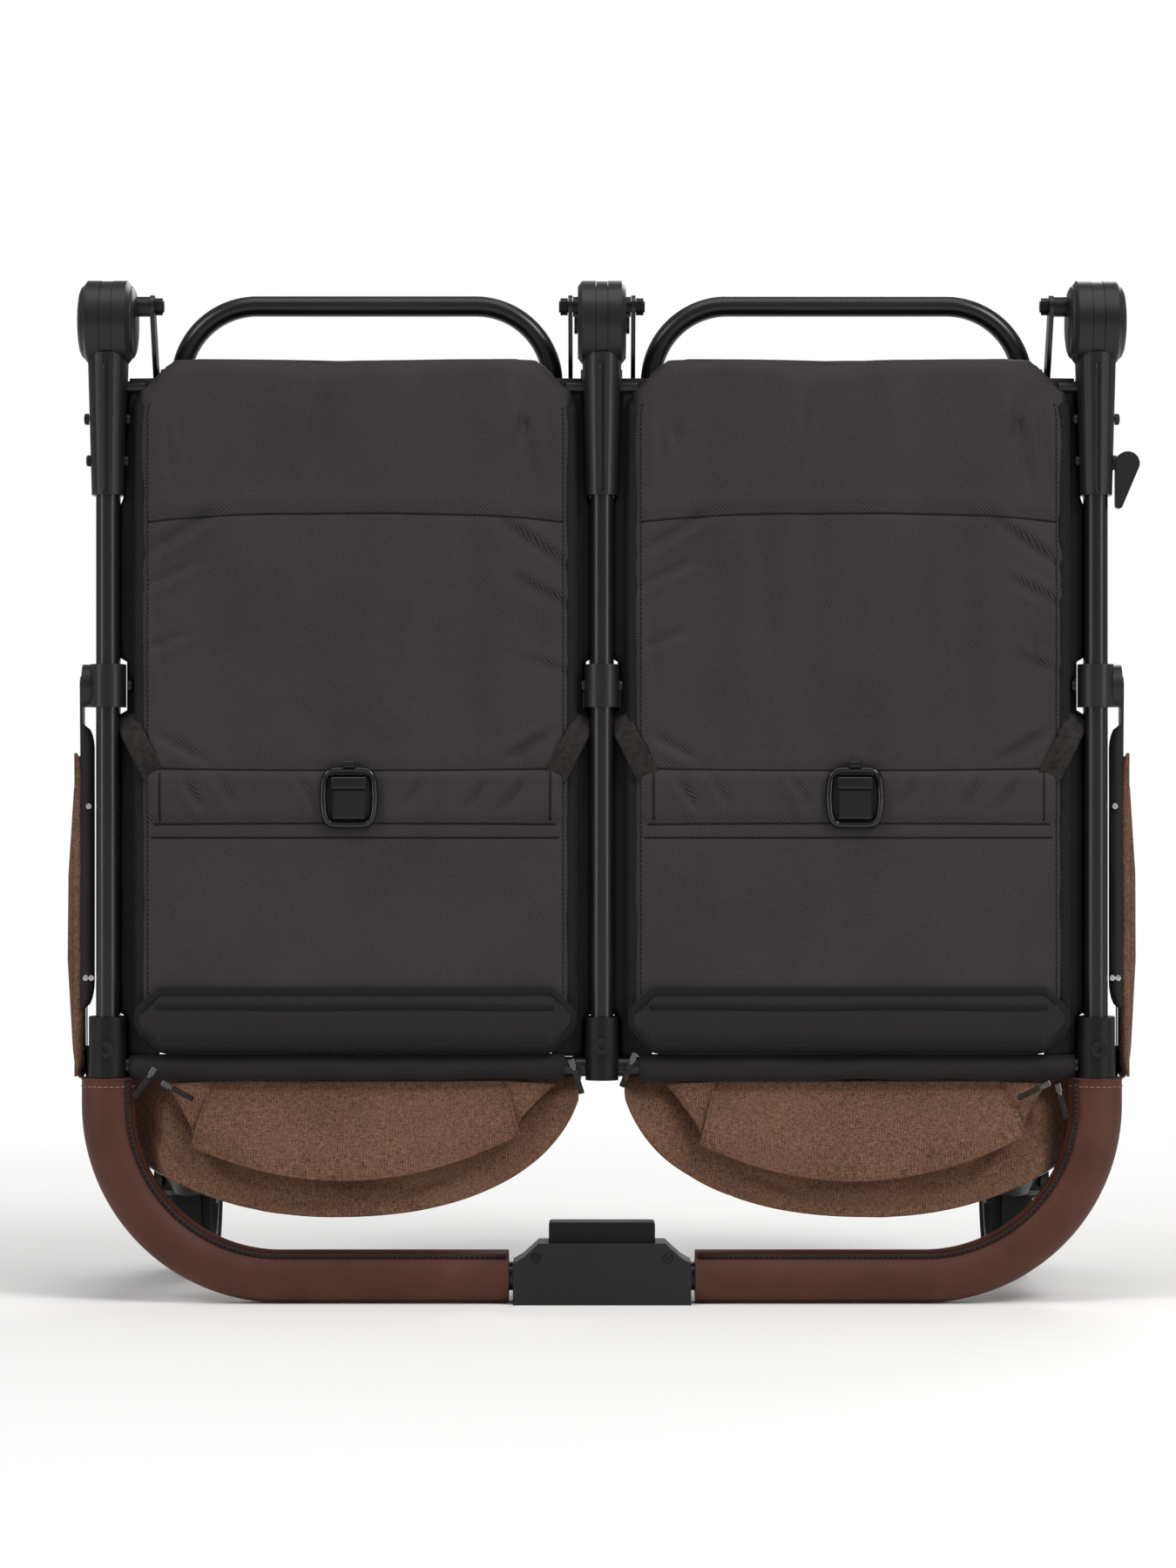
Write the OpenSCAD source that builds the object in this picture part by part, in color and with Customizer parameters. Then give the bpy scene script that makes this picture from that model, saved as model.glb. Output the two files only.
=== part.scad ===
// Side by side double stroller, folded: hinges at the top, handlebar on the floor.
// Millimetres, +X right, +Y away from the seat backs, +Z up, floor at z = 0.

/* [Overall] */
// Width of a seat back panel; the whole stroller grows with it
back_w = 312; // [302:1:322]
// Height of a seat back panel; the hinges rise with it
back_h = 487; // [477:1:500]

/* [Handle frame] */
// Width of an upright tube across the stroller
upright_w = 16; // [14:0.5:18]
// Depth of an upright tube
upright_d = 28; // [24:0.5:30]
// Wall of the upright tubes
upright_wall = 1.6; // [1:0.1:2.4]
// Diameter of the handlebar tube
bar_d = 20; // [18:0.5:24]
// Outside diameter of the grip sleeves
grip_d = 37; // [32:0.5:40]
// Bend radius of the handlebar, on its centre line
bar_bend = 120; // [110:1:125]
// Height of the brackets between the uprights and the handlebar
bracket_h = 42; // [36:1:46]
// Height of the canopy collars above the floor
collar_z = 431; // [420:1:440]
// Half length of the release housing
housing_half = 62; // [56:1:70]
// Travel of the release trigger
trigger_travel = 6; // [4:0.5:8]

/* [Fold hinge] */
// Radius of the hinge heads
head_r = 29; // [26:0.5:30]
// Width of the tongue between the two cheeks
tongue_t = 8; // [6:0.5:9]
// Thickness of one cheek
cheek_t = 12.5; // [11:0.5:14]
// Diameter of the main pivot bolt
pivot_d = 10; // [8:0.5:12]
// Height of the neck below the head
neck_h = 92; // [80:1:100]

/* [Front frame] */
// How far the front legs stand inside the outer uprights
leg_inset = 45; // [44:0.5:47]
// Diameter of the front leg tubes
leg_d = 22; // [20:0.5:24]
// Distance of the front legs behind the uprights
leg_y = 95; // [94:0.5:97]
// Height of the front crossbar
front_bar_z = 215; // [205:1:225]

/* [Front castors] */
// Diameter of the front wheels
front_wheel_d = 130; // [120:1:134]
// Width of the front tyres
front_wheel_w = 30; // [26:0.5:32]
// Angle between the castor axis and the front leg
castor_rake = 65; // [62:0.5:67]
// Distance of the front axle behind the castor axis
castor_trail = 20; // [14:0.5:22]
// Distance of the front axle below the leg's end
castor_drop = 112; // [110:0.5:118]

/* [Rear frame] */
// Diameter of the rear wheels
rear_wheel_d = 170; // [150:1:176]
// Width of the rear tyres
rear_wheel_w = 32; // [28:0.5:34]
// Length from the rear pivot to the rear axle
rear_leg_len = 292; // [280:1:300]
// Diameter of the rear leg tubes
rear_leg_d = 20; // [18:0.5:22]

/* [Seats] */
// Thickness of a seat back panel
back_t = 26; // [22:0.5:27]
// Diameter of the seat hoop tubes
hoop_d = 14.5; // [13:0.5:16]
// Bend radius of the seat hoops, on their centre line
hoop_bend = 54; // [45:1:60]
// Thickness of the hanger plates
hanger_t = 3; // [2:0.25:3.5]

/* [Canopies] */
// Height of the folded canopy's lower edge
canopy_low = 71; // [66:0.5:74]
// Thickness of the canopy arms
arm_t = 2.2; // [1.8:0.1:2.4]
// Diameter of the canopy bow
bow_d = 8; // [6:0.5:8]

/* [Hidden] */

$fn = 48;
// Clearances: running fit, socket fit, soft piece beside a hard one
run_gap = 0.3;
fit_gap = 0.1;
soft_gap = 0.4;
// Step that keeps a flank from just touching its circles
flank_step = 0.05;

tube_black = "#17171a";
plastic_black = "#1e1f22";
fabric_black = "#26242a";
fabric_brown = "#6b4a35";
leather_brown = "#4d2b24";
rubber_grey = "#2b2b2d";
steel = "#8d8f94";

// Room for an upright and the seat edges beside it, and the back's place under the hinges
seat_room = 33;
back_drop = 24;
bracket_top = 200;
back_low = bracket_top - 26;
back_top = back_low + back_h;
track = back_w + seat_room;
hinge_z = back_top + back_drop;
leg_x = track - leg_inset;
head_half = tongue_t / 2 + run_gap + cheek_t;
head_low = hinge_z - head_r;
neck_low = head_low - neck_h;
socket_h = 36;
bracket_low = bracket_top - bracket_h;
bracket_half = upright_w / 2 + 5;
crossbar_r = 7;
crossbar_z = bracket_low + crossbar_r;
crossbar_y = -1;
upright_z0 = bracket_low + 18;
upright_z1 = neck_low + socket_h;

bar_z = grip_d / 2;
housing_top = bar_z + 24.5;
housing_d = 40;
trigger_half = 37;
trigger_d = 24;
wheel_r = front_wheel_d / 2;
castor_z = wheel_r - castor_trail * sin(castor_rake) + castor_drop * cos(castor_rake);
front_axle_y = leg_y + castor_trail * cos(castor_rake) + castor_drop * sin(castor_rake);
depth_mid = (front_axle_y + wheel_r - head_r) / 2;

leg_top = hinge_z - 30;
leg_low = castor_z + 18;
lug_z = hinge_z - 45;
lug_r = 13;
basket_inset = 16;
basket_h = 203;
rear_pivot_y = leg_y + 50;
rear_pivot_z = hinge_z - 103;
rear_pin_r = 4;
rear_eye_r = 12;
rear_eye_half = 6;
rear_plate_t = 4;
axle_boss_r = 16;
axle_boss_half = 16;
rear_end = leg_x + 20 + rear_wheel_w;
rear_axle_z = rear_pivot_z - rear_leg_len;
rear_wheel_x = leg_x + 20 + rear_wheel_w / 2;

back_x = track / 2 - 0.5;
back_pivot_z = back_top - 21;
back_pin_r = 4;
pin_depth = 9;
catch_r = 8.4;
catch_pin_r = 2.5;
catch_root = upright_w / 2 + 4;
catch_y = -5;
catch_z = neck_low + 20;
strap_z = back_low + 179;
strap_w = 22;
strap_t = 1.6;

bolt_z = hinge_z + 11;
hoop_y = 55;
hoop_z = bolt_z + 13;
hoop_half = track / 2 - 40.5;
hoop_x = track / 2 - 5.5;
hoop_leg = 262;
hoop_low = hoop_z - hoop_leg;
hanger_x = track - 31;
hanger_center_x = 22;

collar_half = upright_w / 2 + 4;
collar_h = 30;
canopy_pivot_y = 11;
hub_t = 6;
arm_pin_r = 3;
arm_outer_x = track + collar_half + hub_t + run_gap;
arm_inner_x = collar_half + run_gap;
bow_y = 27;
bow_start_z = 178;
bow_round = 2.3;
bow_gap = 1;
bow_x = (arm_outer_x + arm_t + arm_inner_x) / 2;
bow_half = (arm_outer_x - arm_inner_x + arm_t) / 2 - bow_d / 2;

// Small shape helpers
module at_origin() {
  translate([0, -depth_mid, 0]) children();
}

module x_cyl(r, x0, x1, y = 0, z = 0) {
  translate([min(x0, x1), y, z]) rotate([0, 90, 0]) cylinder(r = r, h = abs(x1 - x0));
}

module y_cyl(r, y0, y1, x = 0, z = 0) {
  translate([x, y1, z]) rotate([90, 0, 0]) cylinder(r = r, h = y1 - y0);
}

module z_cyl(r, z0, z1, x = 0, y = 0) {
  translate([x, y, z0]) cylinder(r = r, h = z1 - z0);
}

// Outline with round ends, longer along its second axis
module oval(w, d) {
  square([w, d - w], center = true);
  for (s = [-1, 1]) translate([0, s * (d - w) / 2]) circle(d = w);
}

// Plate outline round two circles; its flanks run just inside the common tangents
module link_outline(p, pr, q, qr) {
  len_pq = norm(q - p);
  along = atan2(q[1] - p[1], q[0] - p[0]);
  lean = acos((pr - qr) / len_pq);
  translate(p) circle(r = pr);
  translate(q) circle(r = qr);
  polygon([for (c = [[p, pr, lean], [q, qr, lean], [q, qr, -lean], [p, pr, -lean]])
    c[0] + (c[1] - flank_step) * [cos(along + c[2]), sin(along + c[2])]]);
}

// Plate that lies in the YZ plane, between two heights in X
module side_plate(x0, x1) {
  translate([min(x0, x1), 0, 0]) rotate([90, 0, 90]) linear_extrude(abs(x1 - x0)) children();
}

// Closed skin through a list of rings with the same number of points
module loft(rings) {
  n = len(rings[0]);
  last = len(rings) - 1;
  points = [for (ring = rings) each ring];
  walls = [for (i = [0 : last - 1]) for (k = [0 : n - 1]) let (a = i * n + k, b = i * n + (k + 1) % n)
    each [[a, a + n, b], [b, a + n, b + n]]];
  low_cap = [for (k = [1 : n - 2]) [0, k, k + 1]];
  high_cap = [for (k = [1 : n - 2]) [last * n, last * n + k + 1, last * n + k]];
  polyhedron(points = points, faces = concat(walls, low_cap, high_cap), convexity = 6);
}

// Round tube along points that run in one plane at a set depth
module tube_along(path, r, sides = 10) {
  last = len(path) - 1;
  loft([for (i = [0 : last])
    let (run = path[min(i + 1, last)] - path[max(i - 1, 0)], t = run / norm(run),
      side = cross(t, [0, 1, 0]) / norm(cross(t, [0, 1, 0])), up = cross(side, t))
    [for (k = [0 : sides - 1]) path[i] + r * (cos(360 * k / sides) * side - sin(360 * k / sides) * up)]]);
}

// Front frame
module front_leg(s) {
  color(tube_black) difference() {
    z_cyl(leg_d / 2, leg_low, leg_top, s * leg_x, leg_y);
    z_cyl(leg_d / 2 - 1.6, leg_low - 1, leg_top + 1, s * leg_x, leg_y);
  }
}

module front_crossbar() {
  color(tube_black) difference() {
    x_cyl(9, -leg_x, leg_x, leg_y, front_bar_z);
    for (s = [-1, 1]) z_cyl(leg_d / 2 + fit_gap, front_bar_z - 20, front_bar_z + 20, s * leg_x, leg_y);
  }
}

module center_strut() {
  color(tube_black) difference() {
    z_cyl(9, front_bar_z, leg_top, 0, leg_y);
    x_cyl(9 + fit_gap, -20, 20, leg_y, front_bar_z);
  }
}

// Tongue of the fold hinge with its arm, and the socket that holds a leg
module hinge_lug(x, post_x, post_d) {
  wall_r = post_d / 2 + 6;
  color(plastic_black) difference() {
    union() {
      side_plate(x - tongue_t / 2, x + tongue_t / 2)
        link_outline([0, hinge_z], head_r - run_gap, [leg_y, lug_z], lug_r);
      if (x != post_x) x_cyl(lug_r - 3, x, post_x - sign(post_x - x) * (post_d / 2 + 1.5), leg_y, lug_z);
      z_cyl(wall_r, leg_top - 55, leg_top + 5, post_x, leg_y);
    }
    z_cyl(post_d / 2 + fit_gap, leg_top - 56, leg_top, post_x, leg_y);
    x_cyl(pivot_d / 2 + run_gap / 2, x - tongue_t, x + tongue_t, 0, hinge_z);
  }
}

// Tilted bearing housing at the lower end of a front leg
module castor_housing(s) {
  color(plastic_black) translate([s * leg_x, leg_y, 0]) difference() {
    union() {
      z_cyl(leg_d / 2 + 3.5, castor_z, leg_low + 40);
      translate([0, 0, castor_z]) rotate([castor_rake, 0, 0]) z_cyl(17, -22, 26);
    }
    z_cyl(leg_d / 2 + fit_gap, leg_low, leg_low + 41);
    translate([0, 0, castor_z]) rotate([castor_rake, 0, 0]) z_cyl(8, -23, 18);
  }
}

module rear_pivot_brackets() {
  plate_in = rear_eye_half + run_gap;
  plate_out = plate_in + rear_plate_t;
  color(plastic_black) for (s = [-1, 1]) {
    difference() {
      union() {
        z_cyl(leg_d / 2 + 4, rear_pivot_z - 16, rear_pivot_z + 15, s * leg_x, leg_y);
        for (t = [-1, 1]) side_plate(s * leg_x + t * plate_in, s * leg_x + t * plate_out)
          link_outline([leg_y, rear_pivot_z], rear_eye_r, [rear_pivot_y, rear_pivot_z], rear_eye_r);
      }
      z_cyl(leg_d / 2 + fit_gap, rear_pivot_z - 17, rear_pivot_z + 17, s * leg_x, leg_y);
    }
    x_cyl(rear_pin_r, s * leg_x - plate_out - 1, s * leg_x + plate_out + 1, rear_pivot_y, rear_pivot_z);
    for (t = [-1, 1])
      x_cyl(7, s * leg_x + t * plate_out, s * leg_x + t * (plate_out + 3), rear_pivot_y, rear_pivot_z);
  }
}

// Storage pouch that hangs folded behind the front crossbar
module basket() {
  half = leg_x - basket_inset;
  front = leg_y + 9 + soft_gap;
  back = rear_pivot_y - rear_leg_d / 2 - 5;
  low = front_bar_z + 12;
  high = low + basket_h;
  color(fabric_black) difference() {
    loft([for (i = [0 : 8]) let (z = low + (high - low) * i / 8, sag = 6 * sin(180 * i / 8))
      [for (c = [[-half + sag, front], [half - sag, front], [half - sag + 3, (front + back) / 2],
        [half - sag, back], [0, back + sag / 2 - 3], [-half + sag, back],
        [-half + sag - 3, (front + back) / 2]])
        [c[0], c[1], z]]]);
    translate([-half + 12, front + 3, low + 8]) cube([2 * half - 24, back - front - 9, high]);
  }
}

// Handle frame
module upright(x) {
  color(tube_black) translate([x, 0, upright_z0]) linear_extrude(upright_z1 - upright_z0) difference() {
    oval(upright_w, upright_d);
    oval(upright_w - 2 * upright_wall, upright_d - 2 * upright_wall);
  }
}

// Shouldered pin that the storage catch turns on
module catch_pin() {
  x_cyl(catch_pin_r, catch_root - 1, catch_root + 13, catch_y, catch_z);
}

// Head with two round cheeks, and the tapered neck that takes the upright
module hinge_head(x, pin_sides) {
  pin_reach = (x == 0 ? back_x - back_w / 2 : track - back_x - back_w / 2) + pin_depth;
  color(plastic_black) translate([x, 0, 0]) difference() {
    union() {
      for (t = pin_sides) x_cyl(back_pin_r, 0, t * pin_reach, 0, back_pivot_z);
      if (x > 0) catch_pin();
      difference() {
        union() {
          x_cyl(head_r, -head_half + 3, head_half - 3, 0, hinge_z);
          for (s = [-1, 1]) translate([s * (head_half - 3), 0, hinge_z]) rotate([0, s * 90, 0])
            cylinder(r1 = head_r, r2 = head_r - 4, h = 3);
        }
        x_cyl(head_r + 2, -tongue_t / 2 - run_gap, tongue_t / 2 + run_gap, 0, hinge_z);
      }
      difference() {
        hull() {
          translate([0, 0, neck_low]) linear_extrude(6) oval(upright_w + 6, upright_d + 6, $fn = 32);
          translate([0, 0, head_low + 8]) linear_extrude(4)
            oval(2 * head_half - 6, 2 * head_half + 6, $fn = 32);
        }
        side_plate(-tongue_t / 2 - run_gap, tongue_t / 2 + run_gap)
          link_outline([0, hinge_z], head_r + run_gap, [leg_y, lug_z], lug_r + 2 * run_gap);
      }
    }
    x_cyl(pivot_d / 2, -head_half - 1, head_half + 1, 0, hinge_z);
    translate([0, 0, neck_low - 1]) linear_extrude(socket_h + 1)
      oval(upright_w + 2 * fit_gap, upright_d + 2 * fit_gap);
  }
}

// Main pivots, and the hanger pivots on spacer bosses at the seat side of each head
module hinge_bolts() {
  color(steel) for (x = [-track, 0, track]) {
    x_cyl(pivot_d / 2, x - head_half - 2, x + head_half + 2, 0, hinge_z);
    for (s = [-1, 1])
      x_cyl(pivot_d / 2 + 3, x + s * (head_half + fit_gap), x + s * (head_half + 2.5), 0, hinge_z);
  }
  color(tube_black) for (s = [-1, 1]) {
    hanger_bolt(s * (track - head_half), s * hanger_x);
    hanger_bolt(s * head_half, s * hanger_center_x);
  }
}

module hanger_bolt(from_x, plate_x) {
  s = sign(plate_x - from_x);
  x_cyl(7, from_x, plate_x - s * (hanger_t / 2 + run_gap), 0, bolt_z);
  x_cyl(4, from_x, plate_x + s * 8, 0, bolt_z);
  x_cyl(6, plate_x + s * (hanger_t / 2 + run_gap), plate_x + s * 7, 0, bolt_z, $fn = 6);
}

// Collars with the hubs and pins that the canopy arms turn on
module canopy_collars() {
  color(plastic_black) for (x = [-track, 0, track]) {
    translate([x, 0, collar_z - collar_h / 2]) linear_extrude(collar_h) difference() {
      oval(upright_w + 8, upright_d + 8);
      oval(upright_w + 2 * fit_gap, upright_d + 2 * fit_gap);
    }
    if (x != 0) {
      hub = x + sign(x) * collar_half;
      x_cyl(15, hub - sign(x), hub + sign(x) * hub_t, canopy_pivot_y - 7, collar_z);
      x_cyl(arm_pin_r, hub, sign(x) * (arm_outer_x + arm_t), canopy_pivot_y, collar_z);
    }
    else for (s = [-1, 1])
      x_cyl(arm_pin_r, s * (collar_half - 3), s * (arm_inner_x + arm_t), canopy_pivot_y, collar_z);
  }
}

module bracket_body(x, low) {
  translate([x, 0, low]) linear_extrude(bracket_top - low) oval(2 * bracket_half, upright_d + 10);
}

module upright_pocket(x) {
  translate([x, 0, upright_z0]) linear_extrude(bracket_top)
    oval(upright_w + 2 * fit_gap, upright_d + 2 * fit_gap);
}

module handle_brackets() {
  color(plastic_black) for (s = [-1, 1]) difference() {
    bracket_body(s * track, bracket_low);
    upright_pocket(s * track);
    z_cyl(bar_d / 2 + fit_gap, bracket_low - 1, upright_z0 - 2, s * track);
    y_cyl(3, -upright_d, -upright_d / 2, s * track, bracket_top - 22);
  }
}

module center_bracket() {
  color(plastic_black) difference() {
    translate([0, 0, bracket_low - 2]) linear_extrude(bracket_h + 2)
      oval(2 * collar_half - 1, upright_d + 10);
    upright_pocket(0);
    x_cyl(crossbar_r + fit_gap, -20, 20, crossbar_y, crossbar_z);
    y_cyl(3, -upright_d, -upright_d / 2, 0, bracket_top - 20);
  }
}

module handle_crossbar() {
  color(tube_black) x_cyl(crossbar_r, -track + bracket_half, track - bracket_half, crossbar_y, crossbar_z);
}

module bracket_screws() {
  color(steel) for (x = [-track, 0, track]) {
    z = bracket_top - (x == 0 ? 20 : 22);
    y_cyl(3 - fit_gap, -upright_d / 2 - 5, -upright_d / 2 - fit_gap, x, z);
    difference() {
      y_cyl(6, -upright_d / 2 - 8, -upright_d / 2 - 5, x, z);
      y_cyl(2.5, -upright_d / 2 - 9, -upright_d / 2 - 6, x, z, $fn = 6);
    }
  }
}

// Straight and bent runs of the handlebar, for the tube and its sleeves
module bar_run(r, x_end) {
  z_cyl(r, bar_z + bar_bend, bracket_low, -track);
  translate([-track + bar_bend, 0, bar_z + bar_bend]) rotate([90, 0, 0]) rotate([0, 0, 180])
    rotate_extrude(angle = 90) translate([bar_bend, 0]) circle(r = r);
  x_cyl(r, -track + bar_bend, x_end, 0, bar_z);
}

module handle_tube() {
  color(tube_black) {
    for (s = [0, 1]) mirror([s, 0, 0]) {
      bar_run(bar_d / 2, 0);
      z_cyl(bar_d / 2, bracket_low, upright_z0 - 2, -track);
    }
  }
}

module grip(s) {
  color(leather_brown) mirror([s > 0 ? 1 : 0, 0, 0]) difference() {
    bar_run(grip_d / 2, -housing_half - 3);
    bar_run(bar_d / 2 + fit_gap, 0);
    z_cyl(grip_d, bracket_low - 1, bracket_low + 1, -track);
  }
}

// Housing in the middle of the handlebar, with sloping shoulders
module release_housing() {
  top = housing_top;
  color(plastic_black) difference() {
    translate([0, housing_d / 2, 0]) rotate([90, 0, 0]) linear_extrude(housing_d)
      polygon([[-housing_half, 0], [housing_half, 0], [housing_half, top - 14], [housing_half - 7, top - 10],
        [housing_half - 18, top], [-housing_half + 18, top], [-housing_half + 7, top - 10],
        [-housing_half, top - 14]]);
    x_cyl(bar_d / 2 + fit_gap, -housing_half - 1, housing_half + 1, 0, bar_z);
    translate([0, 0, top - trigger_travel + 17])
      cube([2 * (trigger_half + run_gap), trigger_d + 2 * run_gap, 40], center = true);
  }
}

module release_trigger() {
  top = housing_top;
  color(plastic_black) translate([0, trigger_d / 2, 0]) rotate([90, 0, 0]) linear_extrude(trigger_d) {
    translate([-trigger_half, top - 2.6]) square([2 * trigger_half, 14.6]);
    translate([-trigger_half + 2, top + 12]) square([2 * trigger_half - 4, 2]);
    for (s = [-1, 1]) translate([s * (trigger_half - 2), top + 12]) circle(r = 2);
  }
}

// Leaf shaped hook lever on the outer side of the right neck
module storage_catch() {
  color(plastic_black) difference() {
    translate([track + catch_root + 1.2, catch_y + 4.5, 0]) rotate([90, 0, 0]) linear_extrude(9)
      link_outline([catch_r, catch_z + 2], catch_r, [2.5, catch_z - 27], 2.5);
    x_cyl(catch_pin_r + run_gap, track, track + 40, catch_y, catch_z);
  }
}

// Seat backs: crowned panel, drawn in at the sides, with sloping upper corners
function back_ring(z) =
  let (up = (z - back_low) / back_h, t = back_t / 2,
    end = pow(abs(2 * up - 1), 6),
    corner = max(0, (z - back_top + 22) / 22),
    foot = max(0, (back_low + 16 - z) / 16),
    half = back_w / 2 - 3 * (1 - end) * pow(sin(180 * up), 2) - 30 * pow(corner, 2) - 10 * foot * foot,
    crown = t * (1 - 0.55 * end) - 0.6,
    groove = 1.6 * exp(-pow((z - strap_z - 19) / 5, 2)) + 1.2 * exp(-pow((z - back_low - 377) / 5, 2)))
  [for (k = [-5 : 5]) [half * k / 5, 1 - (0.55 + 0.45 * cos(18 * k)) * crown + groove * cos(18 * k), z],
   for (k = [5 : -1 : -5]) [half * k / 5, 1 + (0.55 + 0.45 * cos(18 * k)) * crown, z]];

module back_panel(s) {
  color(fabric_black) translate([s * back_x, 0, 0]) difference() {
    loft([for (i = [0 : 32]) back_ring(back_low + back_h * i / 32)]);
    for (t = [-1, 1])
      x_cyl(back_pin_r + soft_gap, t * (back_w / 2 - pin_depth - 1), t * (back_w / 2 + 5), 0, back_pivot_z);
  }
}

module recline_buckle(s) {
  front = 1.6 - back_t / 2 - soft_gap;
  color(plastic_black) translate([s * (back_x + 4), front, strap_z]) {
    difference() {
      translate([-17, -5, -20]) cube([34, 5, 40]);
      translate([-12, -6, -15]) cube([24, 7, 12]);
      translate([-12, -6, 2]) cube([24, 7, 13]);
    }
    x_cyl(5, -13, 13, -8, 6);
    translate([-13, -10, -14]) cube([26, 5, 20]);
  }
}

// Webbing loops from the panel's tunnel to the uprights
module recline_strap(s) {
  color(fabric_black) difference() {
    for (t = [-1, 1]) translate([s * back_x + t * (back_w / 2 - 5), 0, strap_z + 31])
      rotate([0, t * 31, 0]) translate([-strap_w / 2, -9.5, -strap_w]) cube([strap_w, strap_t, 2 * strap_w]);
    for (x = [0, s * track]) translate([x, 0, strap_z - 20]) linear_extrude(120)
      oval(upright_w + 2 * soft_gap, upright_d + 2 * soft_gap);
  }
}

// Seats
module seat_hoop(s) {
  color(tube_black) translate([s * hoop_x, hoop_y, 0]) {
    for (t = [0, 1]) mirror([t, 0, 0]) {
      z_cyl(hoop_d / 2, hoop_low, hoop_z - hoop_bend - hoop_d / 2, hoop_half);
      translate([hoop_half - hoop_bend, 0, hoop_z - hoop_bend - hoop_d / 2]) rotate([90, 0, 0])
        rotate_extrude(angle = 90) translate([hoop_bend, 0]) circle(d = hoop_d);
      x_cyl(hoop_d / 2, 0, hoop_half - hoop_bend, 0, hoop_z - hoop_d / 2);
    }
  }
}

// Steel plates that carry the hoops on the hinge bolts
module hanger_plates() {
  foot_z = hoop_z - 100;
  outer_hanger = [hanger_x, hoop_x + hoop_half, -1];
  inner_hanger = [hanger_center_x, hoop_x - hoop_half, 1];
  color(tube_black) for (s = [-1, 1]) for (p = [outer_hanger, inner_hanger])
    difference() {
      union() {
        side_plate(s * p[0] - hanger_t / 2, s * p[0] + hanger_t / 2)
          link_outline([0, bolt_z], 8, [hoop_y, foot_z], 9);
        x_cyl(6, s * (p[0] - hanger_t / 2 * p[2]), s * p[1], hoop_y, foot_z);
      }
      x_cyl(4 + run_gap / 2, s * p[0] - 9, s * p[0] + 9, 0, bolt_z);
      for (t = [-1, 1])
        z_cyl(hoop_d / 2 + fit_gap, hoop_low, hoop_z - 60, s * hoop_x + t * hoop_half, hoop_y);
    }
}

function pad_ring(z, low, high) =
  let (up = (z - low) / (high - low), end = pow(abs(2 * up - 1), 4),
    half = hoop_half - hoop_d / 2 - soft_gap - 2.5 * (1 - end) * pow(sin(360 * up), 2) - 8 * end,
    crown = 11 * (1 - 0.6 * end), dip = 2.5 * exp(-pow((up - 0.5) / 0.04, 2)))
  [for (k = [-5 : 5])
     [half * k / 5, hoop_y - 4 - crown * (0.35 + 0.65 * cos(16 * k)) + dip * cos(18 * k), z],
   for (k = [5 : -1 : -5]) [half * k / 5, hoop_y + 6 + 3 * (1 - end) * cos(16 * k), z]];

module seat_pad(s) {
  low = hoop_low + 4;
  high = hoop_z - 62;
  color(fabric_black) translate([s * hoop_x, 0, 0])
    loft([for (i = [0 : 20]) pad_ring(low + (high - low) * i / 20, low, high)]);
}

// Folded canopy: pleated bundle under the seat back, and a side wing outside the upright
function canopy_floor(u) =
  bow_start_z - (bow_start_z - canopy_low) * pow(1 - pow(abs(u), bow_round), 1 / bow_round);
function canopy_ring(u) =
  let (low = canopy_floor(u), high = min(bracket_low - 2, low + 96),
    outer = max(0, (-u - 0.66) / 0.12), y0 = -6 + 30 * min(1, outer), y1 = 62, h = high - low,
    fold = min(1, h / 60))
  [for (k = [0 : 8]) let (f = k / 8)
     [u, y0 - 4 * fold * sin(180 * f) + 5 * fold * pow(sin(270 * f + 20), 2), high - h * f],
   for (k = [1 : 3]) [u, y0 + (y1 - y0) * k / 4, low + 5 * fold * pow(sin(180 * k / 4 * 2), 2)],
   for (k = [8 : -1 : 0]) let (f = k / 8)
     [u, y1 + 3 * fold * sin(180 * f) - 6 * fold * pow(sin(360 * f), 2), high - h * f]];

module canopy(s) {
  half = bow_half - bow_d / 2 - bow_gap;
  last = 28;
  color(fabric_brown) mirror([s > 0 ? 1 : 0, 0, 0]) {
    loft([for (i = [0 : last]) let (u = -0.97 * cos(180 * i / last), x = -bow_x + half * u)
      [for (p = canopy_ring(u)) [x, p[1], p[2]]]]);
    wing_x = arm_outer_x + arm_t + soft_gap + 0.4;
    side_plate(-wing_x - 8.7, -wing_x) link_outline([26, collar_z - 72], 22, [30, bracket_low + 22], 24);
  }
}

// Flat arms on the collar pins and the bow between them
module canopy_bow(s) {
  color(tube_black) mirror([s > 0 ? 1 : 0, 0, 0]) {
    for (x = [arm_outer_x, arm_inner_x]) difference() {
      side_plate(-x - arm_t, -x) link_outline([canopy_pivot_y, collar_z], 7, [bow_y, bow_start_z], 4.5);
      x_cyl(arm_pin_r + run_gap, -x - 5, -x + 5, canopy_pivot_y, collar_z);
    }
    drop = bow_start_z - canopy_low + bow_d / 2 + bow_gap;
    tube_along([for (i = [0 : 30]) let (a = 180 * i / 30, c = -cos(a))
      [-bow_x + bow_half * sign(c) * pow(abs(c), 2 / bow_round), bow_y,
        bow_start_z - drop * pow(abs(sin(a)), 2 / bow_round)]], bow_d / 2);
  }
}

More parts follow.
